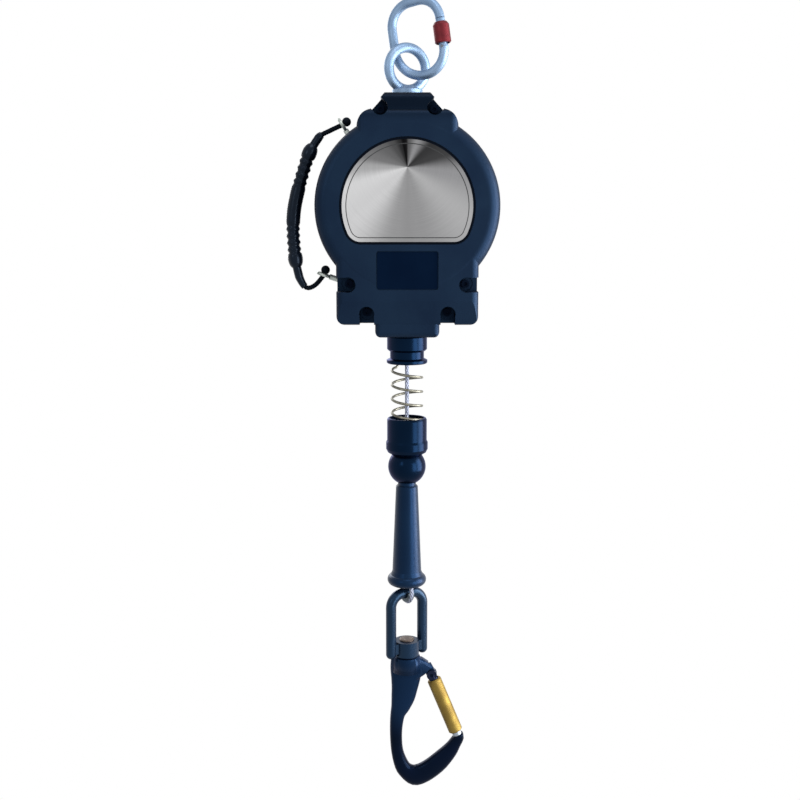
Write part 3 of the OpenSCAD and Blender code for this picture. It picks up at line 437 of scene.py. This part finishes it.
def paint(material, *names):
    """Gives CAD nodes that material."""
    for name in names:
        data = NODES[name].data
        data.materials.clear()
        data.materials.append(material)


def piece(name, bm, body, slot, material, *nodes, angle=35):
    """Makes an object of a bmesh, smooth up to that angle, on a body, in place of CAD nodes."""
    bmesh.ops.recalc_face_normals(bm, faces=bm.faces)
    data = bpy.data.meshes.new(name)
    bm.to_mesh(data)
    bm.free()
    data.shade_smooth()
    data.set_sharp_from_angle(angle=math.radians(angle))
    data.materials.append(material)
    made = bpy.data.objects.new(name, data)
    bpy.context.scene.collection.objects.link(made)
    if body:
        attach(made, body)
    if nodes:
        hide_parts(*nodes)
    return made


def merged_copy(node):
    """A bmesh of a CAD node's mesh with its loose triangles joined."""
    bm = bmesh.new()
    bm.from_mesh(NODES[node].data)
    bmesh.ops.remove_doubles(bm, verts=bm.verts, dist=MERGE)
    return bm


def tubes(lines, radius, sides):
    """A bmesh of round tubes along lists of points, from bevelled curves."""
    curve = bpy.data.curves.new("tube_lines", "CURVE")
    curve.dimensions = "3D"
    curve.bevel_depth = radius
    curve.bevel_resolution = sides // 2 - 2
    curve.use_fill_caps = True
    for line in lines:
        spline = curve.splines.new("POLY")
        spline.points.add(len(line) - 1)
        for point, at in zip(spline.points, line):
            point.co = (*at, 1)
    carrier = bpy.data.objects.new("tube_lines", curve)
    data = bpy.data.meshes.new_from_object(carrier)
    bm = bmesh.new()
    bm.from_mesh(data)
    bmesh.ops.remove_doubles(bm, verts=bm.verts, dist=MERGE)
    bpy.data.objects.remove(carrier)
    bpy.data.curves.remove(curve)
    bpy.data.meshes.remove(data)
    return bm


def smooth_route(points, steps):
    """Points of a smooth curve through hand-set points."""
    out = []
    last = len(points) - 1
    for i in range(last):
        p = [Vector(points[max(0, min(last, i + k))]) for k in (-1, 0, 1, 2)]
        for k in range(steps):
            t = k / steps
            out.append(
                0.5
                * (
                    2 * p[1]
                    + (p[2] - p[0]) * t
                    + (2 * p[0] - 5 * p[1] + 4 * p[2] - p[3]) * t**2
                    + (3 * p[1] - p[0] - 3 * p[2] + p[3]) * t**3
                )
            )
    return out + [Vector(points[last])]


def settle(bm):
    """Puts vertices and faces in order of place, since extruding leaves them in a chance order."""
    rank = {vert: i for i, vert in enumerate(sorted(bm.verts, key=lambda vert: vert.co[:]))}
    bm.verts.sort(key=rank.get)
    corners = {face: sorted(rank[vert] for vert in face.verts) for face in bm.faces}
    order = {face: i for i, face in enumerate(sorted(bm.faces, key=corners.get))}
    bm.faces.sort(key=order.get)


def plate_edge(inset):
    """Points x, z of the face plate's D-shaped edge, moved inwards by that much."""
    r, flat, corner = PLATE_R - inset, PLATE_FLAT - inset, PLATE_CORNER - inset
    z = corner - flat
    x = math.sqrt((r - corner) ** 2 - z**2)
    start = math.atan2(z, x)
    out = []
    # An arc leaves its last point to the next one, but the left corner ends where the flat begins
    for at, radius, first, last, steps, count in (
        ((0, 0), r, start, math.pi - start, 60, 60),
        ((-x, z), corner, math.pi - start, 1.5 * math.pi, 11, 12),
        ((x, z), corner, 1.5 * math.pi, 2 * math.pi + start, 12, 12),
    ):
        for i in range(count):
            turn = first + (last - first) * i / steps
            out.append((at[0] + radius * math.cos(turn), DRUM_Z + at[1] + radius * math.sin(turn)))
    return out


def plate_ring(*section):
    """A bmesh of a ring along the plate's edge; its section has corners at those insets and y."""
    bm = bmesh.new()
    number = bm.verts.layers.int.new("number")
    (inset, y), *others = section
    edge = [bm.verts.new((x, y, z)) for x, z in plate_edge(inset)]
    for i, vert in enumerate(edge):
        vert[number] = i
    loop = [bm.edges.new(pair) for pair in zip(edge, edge[1:] + edge[:1])]
    for inset, y in others + [section[0]]:
        points = plate_edge(inset)
        grown = bmesh.ops.extrude_edge_only(bm, edges=loop)["geom"]
        verts = {g for g in grown if isinstance(g, bmesh.types.BMVert)}
        loop = [g for g in grown if isinstance(g, bmesh.types.BMEdge) and verts.issuperset(g.verts)]
        for vert in verts:
            x, z = points[vert[number]]
            vert.co = (x, y, z)
    bmesh.ops.remove_doubles(bm, verts=bm.verts, dist=MERGE)
    settle(bm)
    return bm


def draw_out(bm, tail, cap_r, share):
    """Draws the end cap at a tail's first point out along the tail, to that share of its width."""
    # The cap's faces are those near that point that look roughly along the tail
    facing = (tail[1] - tail[0]).normalized()
    cap = [
        face
        for face in bm.faces
        if face.normal.dot(facing) > 0.7 and (face.calc_center_median() - tail[0]).length < cap_r
    ]
    facing = cap[0].normal.copy()
    shrink = share ** (1 / (len(tail) - 1))
    for last, at in zip(tail, tail[1:]):
        grown = bmesh.ops.extrude_face_region(bm, geom=cap)["geom"]
        bmesh.ops.delete(bm, geom=cap, context="FACES")
        cap = [g for g in grown if isinstance(g, bmesh.types.BMFace)]
        ahead = (at - last).normalized()
        turn = facing.rotation_difference(ahead)
        for vert in (g for g in grown if isinstance(g, bmesh.types.BMVert)):
            vert.co = at + turn @ (vert.co - last) * shrink
        facing = ahead


def rope_lines(route, across, rope_r, strands, lay):
    """Lines of the strands that lie round a route, and a strand's radius, a third of the rope's.

    The direction across is square to the route's plane.
    """
    strand_r = rope_r / 3
    lines = [list(route)]
    run = [0.0]
    for a, b in zip(route, route[1:]):
        run.append(run[-1] + (b - a).length)
    for s in range(strands):
        line = []
        for i, at in enumerate(route):
            ahead = (route[min(i + 1, len(route) - 1)] - route[max(i - 1, 0)]).normalized()
            side = ahead.cross(across).normalized()
            turn = 2 * math.pi * (s / strands + run[i] / lay)
            line.append(at + (side * math.cos(turn) + across * math.sin(turn)) * strand_r * 2)
        lines.append(line)
    return lines, strand_r


def even(route, step):
    """The same route with points an even step apart."""
    out = [route[0]]
    left = step
    for a, b in zip(route, route[1:]):
        span = (b - a).length
        at = 0.0
        while span - at >= left:
            at += left
            out.append(a.lerp(b, at / span))
            left = step
        left -= span - at
    # The end follows unless it lies very near the last point
    if (out[-1] - route[-1]).length > step * 0.3:
        out.append(route[-1])
    return out


def white_world(scene):
    """A world that lights softly and shows full white to the camera, in gloss and in glass."""
    world = bpy.data.worlds.new("White studio")
    scene.world = world
    world.use_nodes = True
    tree = world.node_tree
    path = add(tree, "ShaderNodeLightPath").outputs
    seen = add(
        tree,
        "ShaderNodeMath",
        links={0: path["Is Camera Ray"], 1: path["Is Transmission Ray"]},
        operation="MAXIMUM",
    )
    shown = add(
        tree,
        "ShaderNodeMath",
        links={0: seen.outputs[0], 1: path["Is Glossy Ray"]},
        operation="MAXIMUM",
    )
    level = add(
        tree,
        "ShaderNodeMapRange",
        {"To Min": WORLD_LEVEL, "To Max": 1.0},
        {"Value": shown.outputs[0]},
    )
    back = next(n for n in tree.nodes if n.type == "BACKGROUND")
    back.inputs["Color"].default_value = linear(WHITE)
    tree.links.new(level.outputs["Result"], back.inputs["Strength"])


def pale_floor(scene):
    """A pale floor under the hook at the line's full reach, white to the camera and in gloss."""
    reach = JOINTS["lifeline_pull"]["range_m"][1]
    bm = bmesh.new()
    bmesh.ops.create_grid(bm, x_segments=1, y_segments=1, size=FLOOR_HALF)
    bmesh.ops.translate(bm, verts=bm.verts, vec=(0, 0, CAD_BOX[0][2] - reach - FLOOR_GAP))
    data = bpy.data.meshes.new("floor")
    bm.to_mesh(data)
    bm.free()
    floor = bpy.data.objects.new("floor", data)
    scene.collection.objects.link(floor)
    pale, tree, shader, _ = finish("Pale studio floor", Base_Color=linear("#e8e8e8"), Roughness=0.9)
    path = add(tree, "ShaderNodeLightPath").outputs
    seen = add(
        tree,
        "ShaderNodeMath",
        links={0: path["Is Camera Ray"], 1: path["Is Glossy Ray"]},
        operation="MAXIMUM",
    )
    glow = add(tree, "ShaderNodeEmission", {"Color": linear(WHITE), "Strength": 1.0})
    mix = add(
        tree,
        "ShaderNodeMixShader",
        links={0: seen.outputs[0], 1: shader.outputs[0], 2: glow.outputs[0]},
    )
    tree.links.new(mix.outputs[0], tree.nodes["Material Output"].inputs["Surface"])
    data.materials.append(pale)


def soft_lamps(scene):
    """Soft rectangular lamps that face the middle of the part."""
    for name, at, size, power in LAMPS:
        lamp = bpy.data.lights.new(name, "AREA")
        lamp.shape = "RECTANGLE"
        lamp.size, lamp.size_y = size
        lamp.energy = power
        made = bpy.data.objects.new(name, lamp)
        made.location = at
        made.rotation_euler = (LAMP_AIM - Vector(at)).to_track_quat("-Z", "Y").to_euler()
        scene.collection.objects.link(made)
        if name == "front_right":
            # The brushed plate would mirror this lamp as a white patch in views from the left
            shaded = bpy.data.collections.new("out_of_front_right")
            shaded.objects.link(NODES["face_plate"])
            made.light_linking.receiver_collection = shaded
            shaded.collection_objects[0].light_linking.link_state = "EXCLUDE"


def photo_camera(scene):
    """The photograph's camera."""
    lens = bpy.data.cameras.new("photo_camera")
    lens.lens = LENS
    lens.sensor_width = SENSOR
    camera = bpy.data.objects.new("photo_camera", lens)
    camera.location = CAMERA_AT
    camera.rotation_euler = (CAMERA_TILT, 0, 0)
    scene.collection.objects.link(camera)
    scene.camera = camera


class LIFELINE_OT_stage(bpy.types.Operator):
    """White studio, soft lamps and the photograph's camera."""

    bl_idname = "lifeline.stage"
    bl_label = "Studio and camera"

    def execute(self, context):
        scene = context.scene
        scene.view_settings.view_transform = "Standard"
        white_world(scene)
        pale_floor(scene)
        soft_lamps(scene)
        photo_camera(scene)
        return {"FINISHED"}


class LIFELINE_OT_plated(bpy.types.Operator):
    """Plated and bare metals outside and inside the housing, with brake lining and wire guide."""

    bl_idname = "lifeline.plated"
    bl_label = "Metals and works"

    def execute(self, context):
        # Bright blue-passivated zinc: pale blue sheen, faint spangle
        zinc = plated(
            "Blue passivated zinc plate", "#8ea7c4", "#6e87a4", rough=0.48, spangle_mm=16
        )
        paint(zinc, "carabiner_body", "carabiner_gate", "swivel_eye")
        # Plain galvanised fittings: greyer, duller
        galvanised = plated(
            "Galvanised steel fitting", "#c2c8c4", "#98a19c", rough=0.4, spangle_mm=4
        )
        paint(galvanised, "handle_eyelets")
        # Pressed thimble: dull steel, darkened by grease from the rope
        greased = plated("Greased thimble steel", "#66717a", "#3f4950", rough=0.45, spangle_mm=5)
        paint(greased, "wire_thimble")
        # Turned steel: grey, low sheen
        turned = plated("Turned steel", "#8b929c", "#666d77", rough=0.36, spangle_mm=5)
        paint(
            turned,
            "carabiner_gate_pin",
            "eye_nut",
            "anchor_block",
            "front_load_plate",
            "rear_load_plate",
            "frame_rivets",
            "main_shaft",
            "shaft_nuts",
            "spring_arbor",
            "brake_pressure_plate",
            "ratchet_disc",
            "case_screws",
            "pawl_pins",
            "pawl_a",
            "pawl_b",
            "wire_ferrule",
        )
        # Black oxide on the case bolts, the hook's hinge and its thrust washer: blue-black, oily
        oxide = coated(
            "Black oxide steel",
            "#0a1120",
            "#060b15",
            rough=0.45,
            peel_mm=2,
            peel=0.08,
            Metallic=0.6,
            Specular_Tint=linear("#4a6ea0"),
        )
        paint(oxide, "cover_bolts", "cover_nuts", "hook_gate_pin", "swivel_washer")
        # Riveted steel: head browned by heat and rubbed
        riveted = plated("Riveted pin head", "#7a6e66", "#4a403c", rough=0.42, spangle_mm=6)
        paint(riveted, "swivel_pin")
        # Die-cast aluminium: pale grey, dull skin
        cast = plated("Cast drum alloy", "#c3c7cc", "#9aa0a6", rough=0.45, spangle_mm=6)
        paint(cast, "drum", "spring_case")
        # Sintered bronze: warm yellow brown, fine pores
        bronze = plated("Sintered bronze", "#c49a55", "#8f6d36", rough=0.45, spangle_mm=2)
        paint(bronze, "drum_bushes", "eye_washer")
        # Rolled spring strip: dark grey under a film of oil
        strip = plated("Oiled spring strip", "#6c737c", "#474d55", rough=0.32, spangle_mm=6)
        paint(strip, "power_spring", "pawl_springs", "brake_disc_springs")
        # Moulded friction lining: brown, matt and gritty
        lining = coated(
            "Friction lining", "#5f4f40", "#47392d", rough=0.8, peel_mm=1.2, peel=0.4
        )
        paint(lining, "brake_lining_front", "brake_lining_rear")
        # Turned acetal: cream, soft sheen
        acetal = coated("Acetal guide", "#dcd8c8", "#cfcab8", rough=0.45, peel_mm=2, peel=0.1)
        paint(acetal, "guide_bush")
        return {"FINISHED"}


class LIFELINE_OT_screw(bpy.types.Operator):
    """Red anodised screw sleeve of the carabiner."""

    bl_idname = "lifeline.screw"
    bl_label = "Screw sleeve"

    def execute(self, context):
        colour = context.scene.lifeline_colours.screw
        # Anodised aluminium: metal under clear red dye, soft satin from the tumbling
        dyed = plated("Red anodised aluminium", colour, "#5a1820", rough=0.48, spangle_mm=8)
        paint(dyed, "carabiner_sleeve")
        return {"FINISHED"}


class LIFELINE_OT_case(bpy.types.Operator):
    """Cast housing with its satin powder coat."""

    bl_idname = "lifeline.case"
    bl_label = "Housing"

    def execute(self, context):
        colour = context.scene.lifeline_colours.case
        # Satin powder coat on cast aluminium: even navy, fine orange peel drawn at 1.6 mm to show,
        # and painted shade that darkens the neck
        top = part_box("front_cover")[1].z
        coat = coated(
            "Navy satin powder coat",
            colour,
            "#152235",
            rough=0.42,
            peel_mm=1.6,
            peel=0.16,
            upper=("#0a121d", top - 32 * MM, top - 13 * MM),
            Metallic=0.45,
            Specular_Tint=linear("#3a5a86"),
        )
        paint(coat, "front_cover", "rear_cover")
        return {"FINISHED"}


class LIFELINE_OT_plates(bpy.types.Operator):
    """Spin-brushed face plate, its border line and groove bead in painted shade, and the bare label
    film.
    """

    bl_idname = "lifeline.plates"
    bl_label = "Face plate and label"

    def execute(self, context):
        sizes = context.scene.lifeline_sizes
        paint(brushed_stainless(), "face_plate")

        # Label film: flat dark blue, slightly glossy, fine wrinkles
        film = coated(
            "Bare label film",
            "#061429",
            "#041024",
            rough=0.38,
            peel_mm=9,
            peel=0.12,
            Metallic=0.4,
            Specular_Tint=linear("#263d60"),
        )
        paint(film, "label_plate")

        # Border line: painted shade of a pressed groove, drawn as a thin grey ring along the
        # plate's edge
        low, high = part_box("face_plate")
        groove_shade = coated(
            "Grey painted groove shade",
            "#434445",
            "#353637",
            rough=0.4,
            peel_mm=2,
            peel=0.1,
            Specular_IOR_Level=0.1,
        )
        outer, inner, proud = sizes.border_in, sizes.border_in + 0.9 * MM, low.y - 0.15 * MM
        bm = plate_ring((outer, low.y), (inner, low.y), (inner, proud), (outer, proud))
        piece("plate_border", bm, "housing", "brushed_plate", groove_shade)
        # Painted shadow: a matt black bead that fills the groove and laps over the plate's edge
        groove_shadow = coated(
            "Black painted groove shadow",
            "#080c14",
            "#05080e",
            rough=0.6,
            peel_mm=3,
            peel=0.2,
            Specular_IOR_Level=0.08,
            Specular_Tint=linear("#6f8cb8"),
        )
        outer, edge, lap, proud = -1.55 * MM, -0.05 * MM, 0.95 * MM, low.y - 0.25 * MM
        bm = plate_ring(
            (outer, high.y),
            (edge, high.y),
            (edge, low.y),
            (lap, low.y),
            (lap, proud),
            (outer, proud),
        )
        piece("plate_bead", bm, "housing", "brushed_plate", groove_shadow)
        return {"FINISHED"}


class LIFELINE_OT_line_parts(bpy.types.Operator):
    """Coated nozzle, cup, ball and bow, and the moulded grip sleeve."""

    bl_idname = "lifeline.line_parts"
    bl_label = "Line parts"

    def execute(self, context):
        colours = context.scene.lifeline_colours
        # Gloss coat over turned steel: deep navy, wet highlight
        gloss = coated(
            "Navy gloss coat",
            colours.line,
            "#05101e",
            rough=0.24,
            peel_mm=3,
            peel=0.06,
            Metallic=0.6,
            Specular_Tint=linear("#4a86d0"),
        )
        paint(gloss, "nozzle", "spring_cup", "ball_stop")
        # Same coat on the bow as a lighter, greyer satin copy whose lightness is painted sheen
        lightened_coat = coated(
            "Lightened navy coat",
            colours.bow,
            "#0b1727",
            rough=0.26,
            peel_mm=4,
            peel=0.08,
            Metallic=0.15,
            Specular_IOR_Level=0.8,
            Specular_Tint=linear("#74a0cc"),
        )
        paint(lightened_coat, "hook_bow")
        # Moulded polyamide: same navy, a little softer
        moulded = coated(
            "Navy moulded polyamide",
            colours.sleeve,
            "#0b1626",
            rough=0.34,
            peel_mm=2,
            peel=0.05,
            Specular_IOR_Level=0.6,
            Specular_Tint=linear("#4a82ca"),
        )
        paint(moulded, "grip_sleeve")
        return {"FINISHED"}


class LIFELINE_OT_wire(bpy.types.Operator):
    """Stranded wire rope: the line, its eye and what lies on the drum."""

    bl_idname = "lifeline.wire"
    bl_label = "Wire rope"

    def execute(self, context):
        sizes = context.scene.lifeline_sizes
        # Galvanised wire rope: each strand shows its own fine wires at 0.8 mm
        steel = plated("Galvanised wire rope", "#9da3b3", "#80869a", rough=0.46, spangle_mm=0.8)
        paint(steel, "winding_core", "wire_winding", "wire_inner_run")
        rope_r, strands, lay = sizes.rope_d / 2, sizes.rope_strands, sizes.rope_lay
        low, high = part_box("lifeline_wire")
        step = 2.5 * MM
        count = int((high.z - low.z) / step)
        route = [Vector((0, 0, high.z + (low.z - high.z) * i / count)) for i in range(count + 1)]
        lines, strand_r = rope_lines(route, ACROSS, rope_r, strands, lay)
        bm = tubes(lines, strand_r, sides=8)
        rope = piece("lifeline_rope", bm, None, "wire_rope", steel, "lifeline_wire")
        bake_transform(rope)

        # The eye's right side as distances from its middle, its bowl, and the same side mirrored
        low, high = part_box("wire_eye")
        turn = math.radians(120)
        loop_r = 10.9 * MM
        centre = low.z + loop_r + rope_r
        side = [
            (2.6 * MM, high.z - centre),
            (2.6 * MM, high.z - centre - 4.8 * MM),
            (4.6 * MM, 24 * MM),
            (9.9 * MM, 9 * MM),
        ]
        turns = [math.radians(a) for a in range(0, -181, -30)]
        arc = [(loop_r * math.cos(a), loop_r * math.sin(a)) for a in turns]
        flat = side + arc + [(-x, z) for x, z in reversed(side)]
        points = [Vector((x * math.cos(turn), x * math.sin(turn), centre + z)) for x, z in flat]
        step = 1.8 * MM
        route = even(smooth_route(points, steps=8), step)
        across = Vector((-math.sin(turn), math.cos(turn), 0))
        lines, strand_r = rope_lines(route, across, rope_r, strands, lay)
        bm = tubes(lines, strand_r, sides=8)
        piece("eye_rope", bm, "line_end", "wire_rope", steel, "wire_eye")
        return {"FINISHED"}


class LIFELINE_OT_bumper(bpy.types.Operator):
    """Bumper spring in round oiled wire."""

    bl_idname = "lifeline.bumper"
    bl_label = "Bumper spring"

    def execute(self, context):
        sizes = context.scene.lifeline_sizes
        low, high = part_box("bumper_spring")
        # Drawn spring wire: grey with a warm film of oil
        steel = plated("Oiled spring wire", "#8a887c", "#5f5d54", rough=0.35, spangle_mm=5)
        radius = (sizes.bumper_d - sizes.bumper_wire) / 2
        first = math.radians(216)
        # Each end stands up straight before the coil sets in
        stand, seat = sizes.bumper_wire, 1.8 * sizes.bumper_wire
        climb = high.z - low.z - 2 * seat
        per_turn = 40
        steps = int(sizes.bumper_turns * per_turn)
        coil = [(0, low.z), (0, low.z + stand)]
        coil += [(i / steps, low.z + seat + climb * i / steps) for i in range(1, steps)]
        coil += [(1, high.z - stand), (1, high.z)]
        line = []
        for share, at in coil:
            turn = first - 2 * math.pi * sizes.bumper_turns * share
            line.append(Vector((radius * math.cos(turn), radius * math.sin(turn), at)))
        bm = tubes([line], sizes.bumper_wire / 2, sides=12)
        piece("bumper_coil", bm, "line_end", "spring_steel", steel, "bumper_spring")
        return {"FINISHED"}


class LIFELINE_OT_handle(bpy.types.Operator):
    """Carry cord and its moulded grip."""

    bl_idname = "lifeline.handle"
    bl_label = "Carry handle"

    def execute(self, context):
        sizes = context.scene.lifeline_sizes
        points = [Vector((x * MM, CORD_Y, DRUM_Z + z * MM)) for x, z in CORD_ROUTE]
        # Braided polyester: near black, soft sheen, 1.4 mm stitches
        braid = coated(
            "Black braided polyester",
            "#10141d",
            "#070a10",
            rough=0.7,
            peel_mm=1.4,
            peel=0.5,
            Specular_IOR_Level=0.2,
            Specular_Tint=linear("#8fa8c8"),
        )
        step = 1.5 * MM
        line = even(smooth_route(points, steps=10), step)
        lines, strand_r = rope_lines(
            line, ACROSS, sizes.cord_d / 2, sizes.cord_strands, sizes.cord_lay
        )
        bm = tubes(lines, strand_r, sides=8)
        cord = piece("carry_cord", bm, "carry_handle", "cord", braid, "handle_cord")
        paint(braid, "cord_stops")
        # Moulded rubber: blue-black, matt with worn sheen on the ribs
        rubber = coated(
            "Black moulded rubber",
            "#0e1622",
            "#080d16",
            rough=0.26,
            peel_mm=2.2,
            peel=0.15,
            Specular_IOR_Level=0.3,
            Specular_Tint=linear("#9fb6d4"),
        )
        bm = merged_copy("handle_grip")
        # The grip's thin ends run on along the cord and taper off, further at the bottom
        for end, way, count in GRIP_ENDS:
            gaps = [(at - points[end]).length for at in line]
            nearest = gaps.index(min(gaps))
            tail = [points[end]] + [line[nearest + way * i] for i in range(1, count + 1)]
            draw_out(bm, tail, cap_r=5 * MM, share=0.8)
        settle(bm)
        grip = piece(
            "grip_rubber", bm, "carry_handle", "grip_rubber", rubber, "handle_grip", angle=60
        )
        return {"FINISHED"}


class LIFELINE_OT_hook(bpy.types.Operator):
    """Coated hook forging and its gold locking sleeve."""

    bl_idname = "lifeline.hook"
    bl_label = "Hook"

    def execute(self, context):
        colours = context.scene.lifeline_colours
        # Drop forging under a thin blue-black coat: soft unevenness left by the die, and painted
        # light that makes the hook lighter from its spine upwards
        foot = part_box("hook_body")[0].z
        forging = coated(
            "Blue-black coated forging",
            colours.hook,
            "#040a18",
            rough=0.25,
            peel_mm=5,
            peel=0.12,
            upper=("#10233d", foot + 60 * MM, foot + 105 * MM),
            Metallic=0.3,
            Specular_IOR_Level=0.22,
            Specular_Tint=linear("#6f98c8"),
        )
        bm = merged_copy("hook_body")
        piece("hook_forging", bm, "hook_group", "hook_black", forging, "hook_body", angle=40)
        # Gate arm: coated at the hinge, bare steel from under the sleeve to its tip
        arm, tree, shader, place = finish(
            "Coated and bare gate steel", Metallic=0.75, Roughness=0.38
        )
        low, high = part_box("hook_gate")
        height = add(tree, "ShaderNodeSeparateXYZ", links={0: place}).outputs["Z"]
        worn = add(
            tree,
            "ShaderNodeMapRange",
            {"From Min": low.z + 20 * MM, "From Max": high.z - 24 * MM},
            {"Value": height},
        )
        mark_mm = 3
        marks = add(
            tree, "ShaderNodeTexNoise", {"Scale": 1000 / mark_mm, "Detail": 3.0}, {"Vector": place}
        )
        scuff = add(
            tree,
            "ShaderNodeMath",
            {1: 0.2},
            {0: marks.outputs["Fac"], 2: worn.outputs["Result"]},
            operation="MULTIPLY_ADD",
        )
        tone = add(
            tree,
            "ShaderNodeValToRGB",
            links={"Fac": scuff.outputs[0]},
            stops=[(0.2, "#9aa3ad"), (0.9, "#0c1730")],
        )
        tree.links.new(tone.outputs["Color"], shader.inputs["Base Color"])
        paint(arm, "hook_gate")
        # Gold anodised aluminium tube: bright, satin
        gold = plated("Gold anodised aluminium", colours.lock, "#6a5526", rough=0.5, spangle_mm=12)
        paint(gold, "hook_gate_sleeve")
        return {"FINISHED"}


class LIFELINE_PT_panel(bpy.types.Panel):
    """Lists the pieces and what can be changed."""

    bl_label = "Self retracting lifeline"
    bl_idname = "LIFELINE_PT_panel"
    bl_space_type = "VIEW_3D"
    bl_region_type = "UI"
    bl_category = "Lifeline"

    def draw(self, context):
        for group in (context.scene.lifeline_sizes, context.scene.lifeline_colours):
            for name in group.__annotations__:
                self.layout.prop(group, name)
        for step in STEPS:
            self.layout.operator(step.bl_idname)


STEPS = (
    LIFELINE_OT_stage,
    LIFELINE_OT_handle,
    LIFELINE_OT_plated,
    LIFELINE_OT_screw,
    LIFELINE_OT_case,
    LIFELINE_OT_plates,
    LIFELINE_OT_line_parts,
    LIFELINE_OT_wire,
    LIFELINE_OT_bumper,
    LIFELINE_OT_hook,
)
CLASSES = (LifelineSizes, LifelineColours, *STEPS, LIFELINE_PT_panel)


def register():
    for made in CLASSES:
        bpy.utils.register_class(made)
    bpy.types.Scene.lifeline_sizes = bpy.props.PointerProperty(type=LifelineSizes)
    bpy.types.Scene.lifeline_colours = bpy.props.PointerProperty(type=LifelineColours)


def unregister():
    del bpy.types.Scene.lifeline_colours
    del bpy.types.Scene.lifeline_sizes
    for made in reversed(CLASSES):
        bpy.utils.unregister_class(made)


def main():
    register()
    for step in STEPS:
        group, name = step.bl_idname.split(".")
        getattr(getattr(bpy.ops, group), name)()


if __name__ == "__main__":
    main()
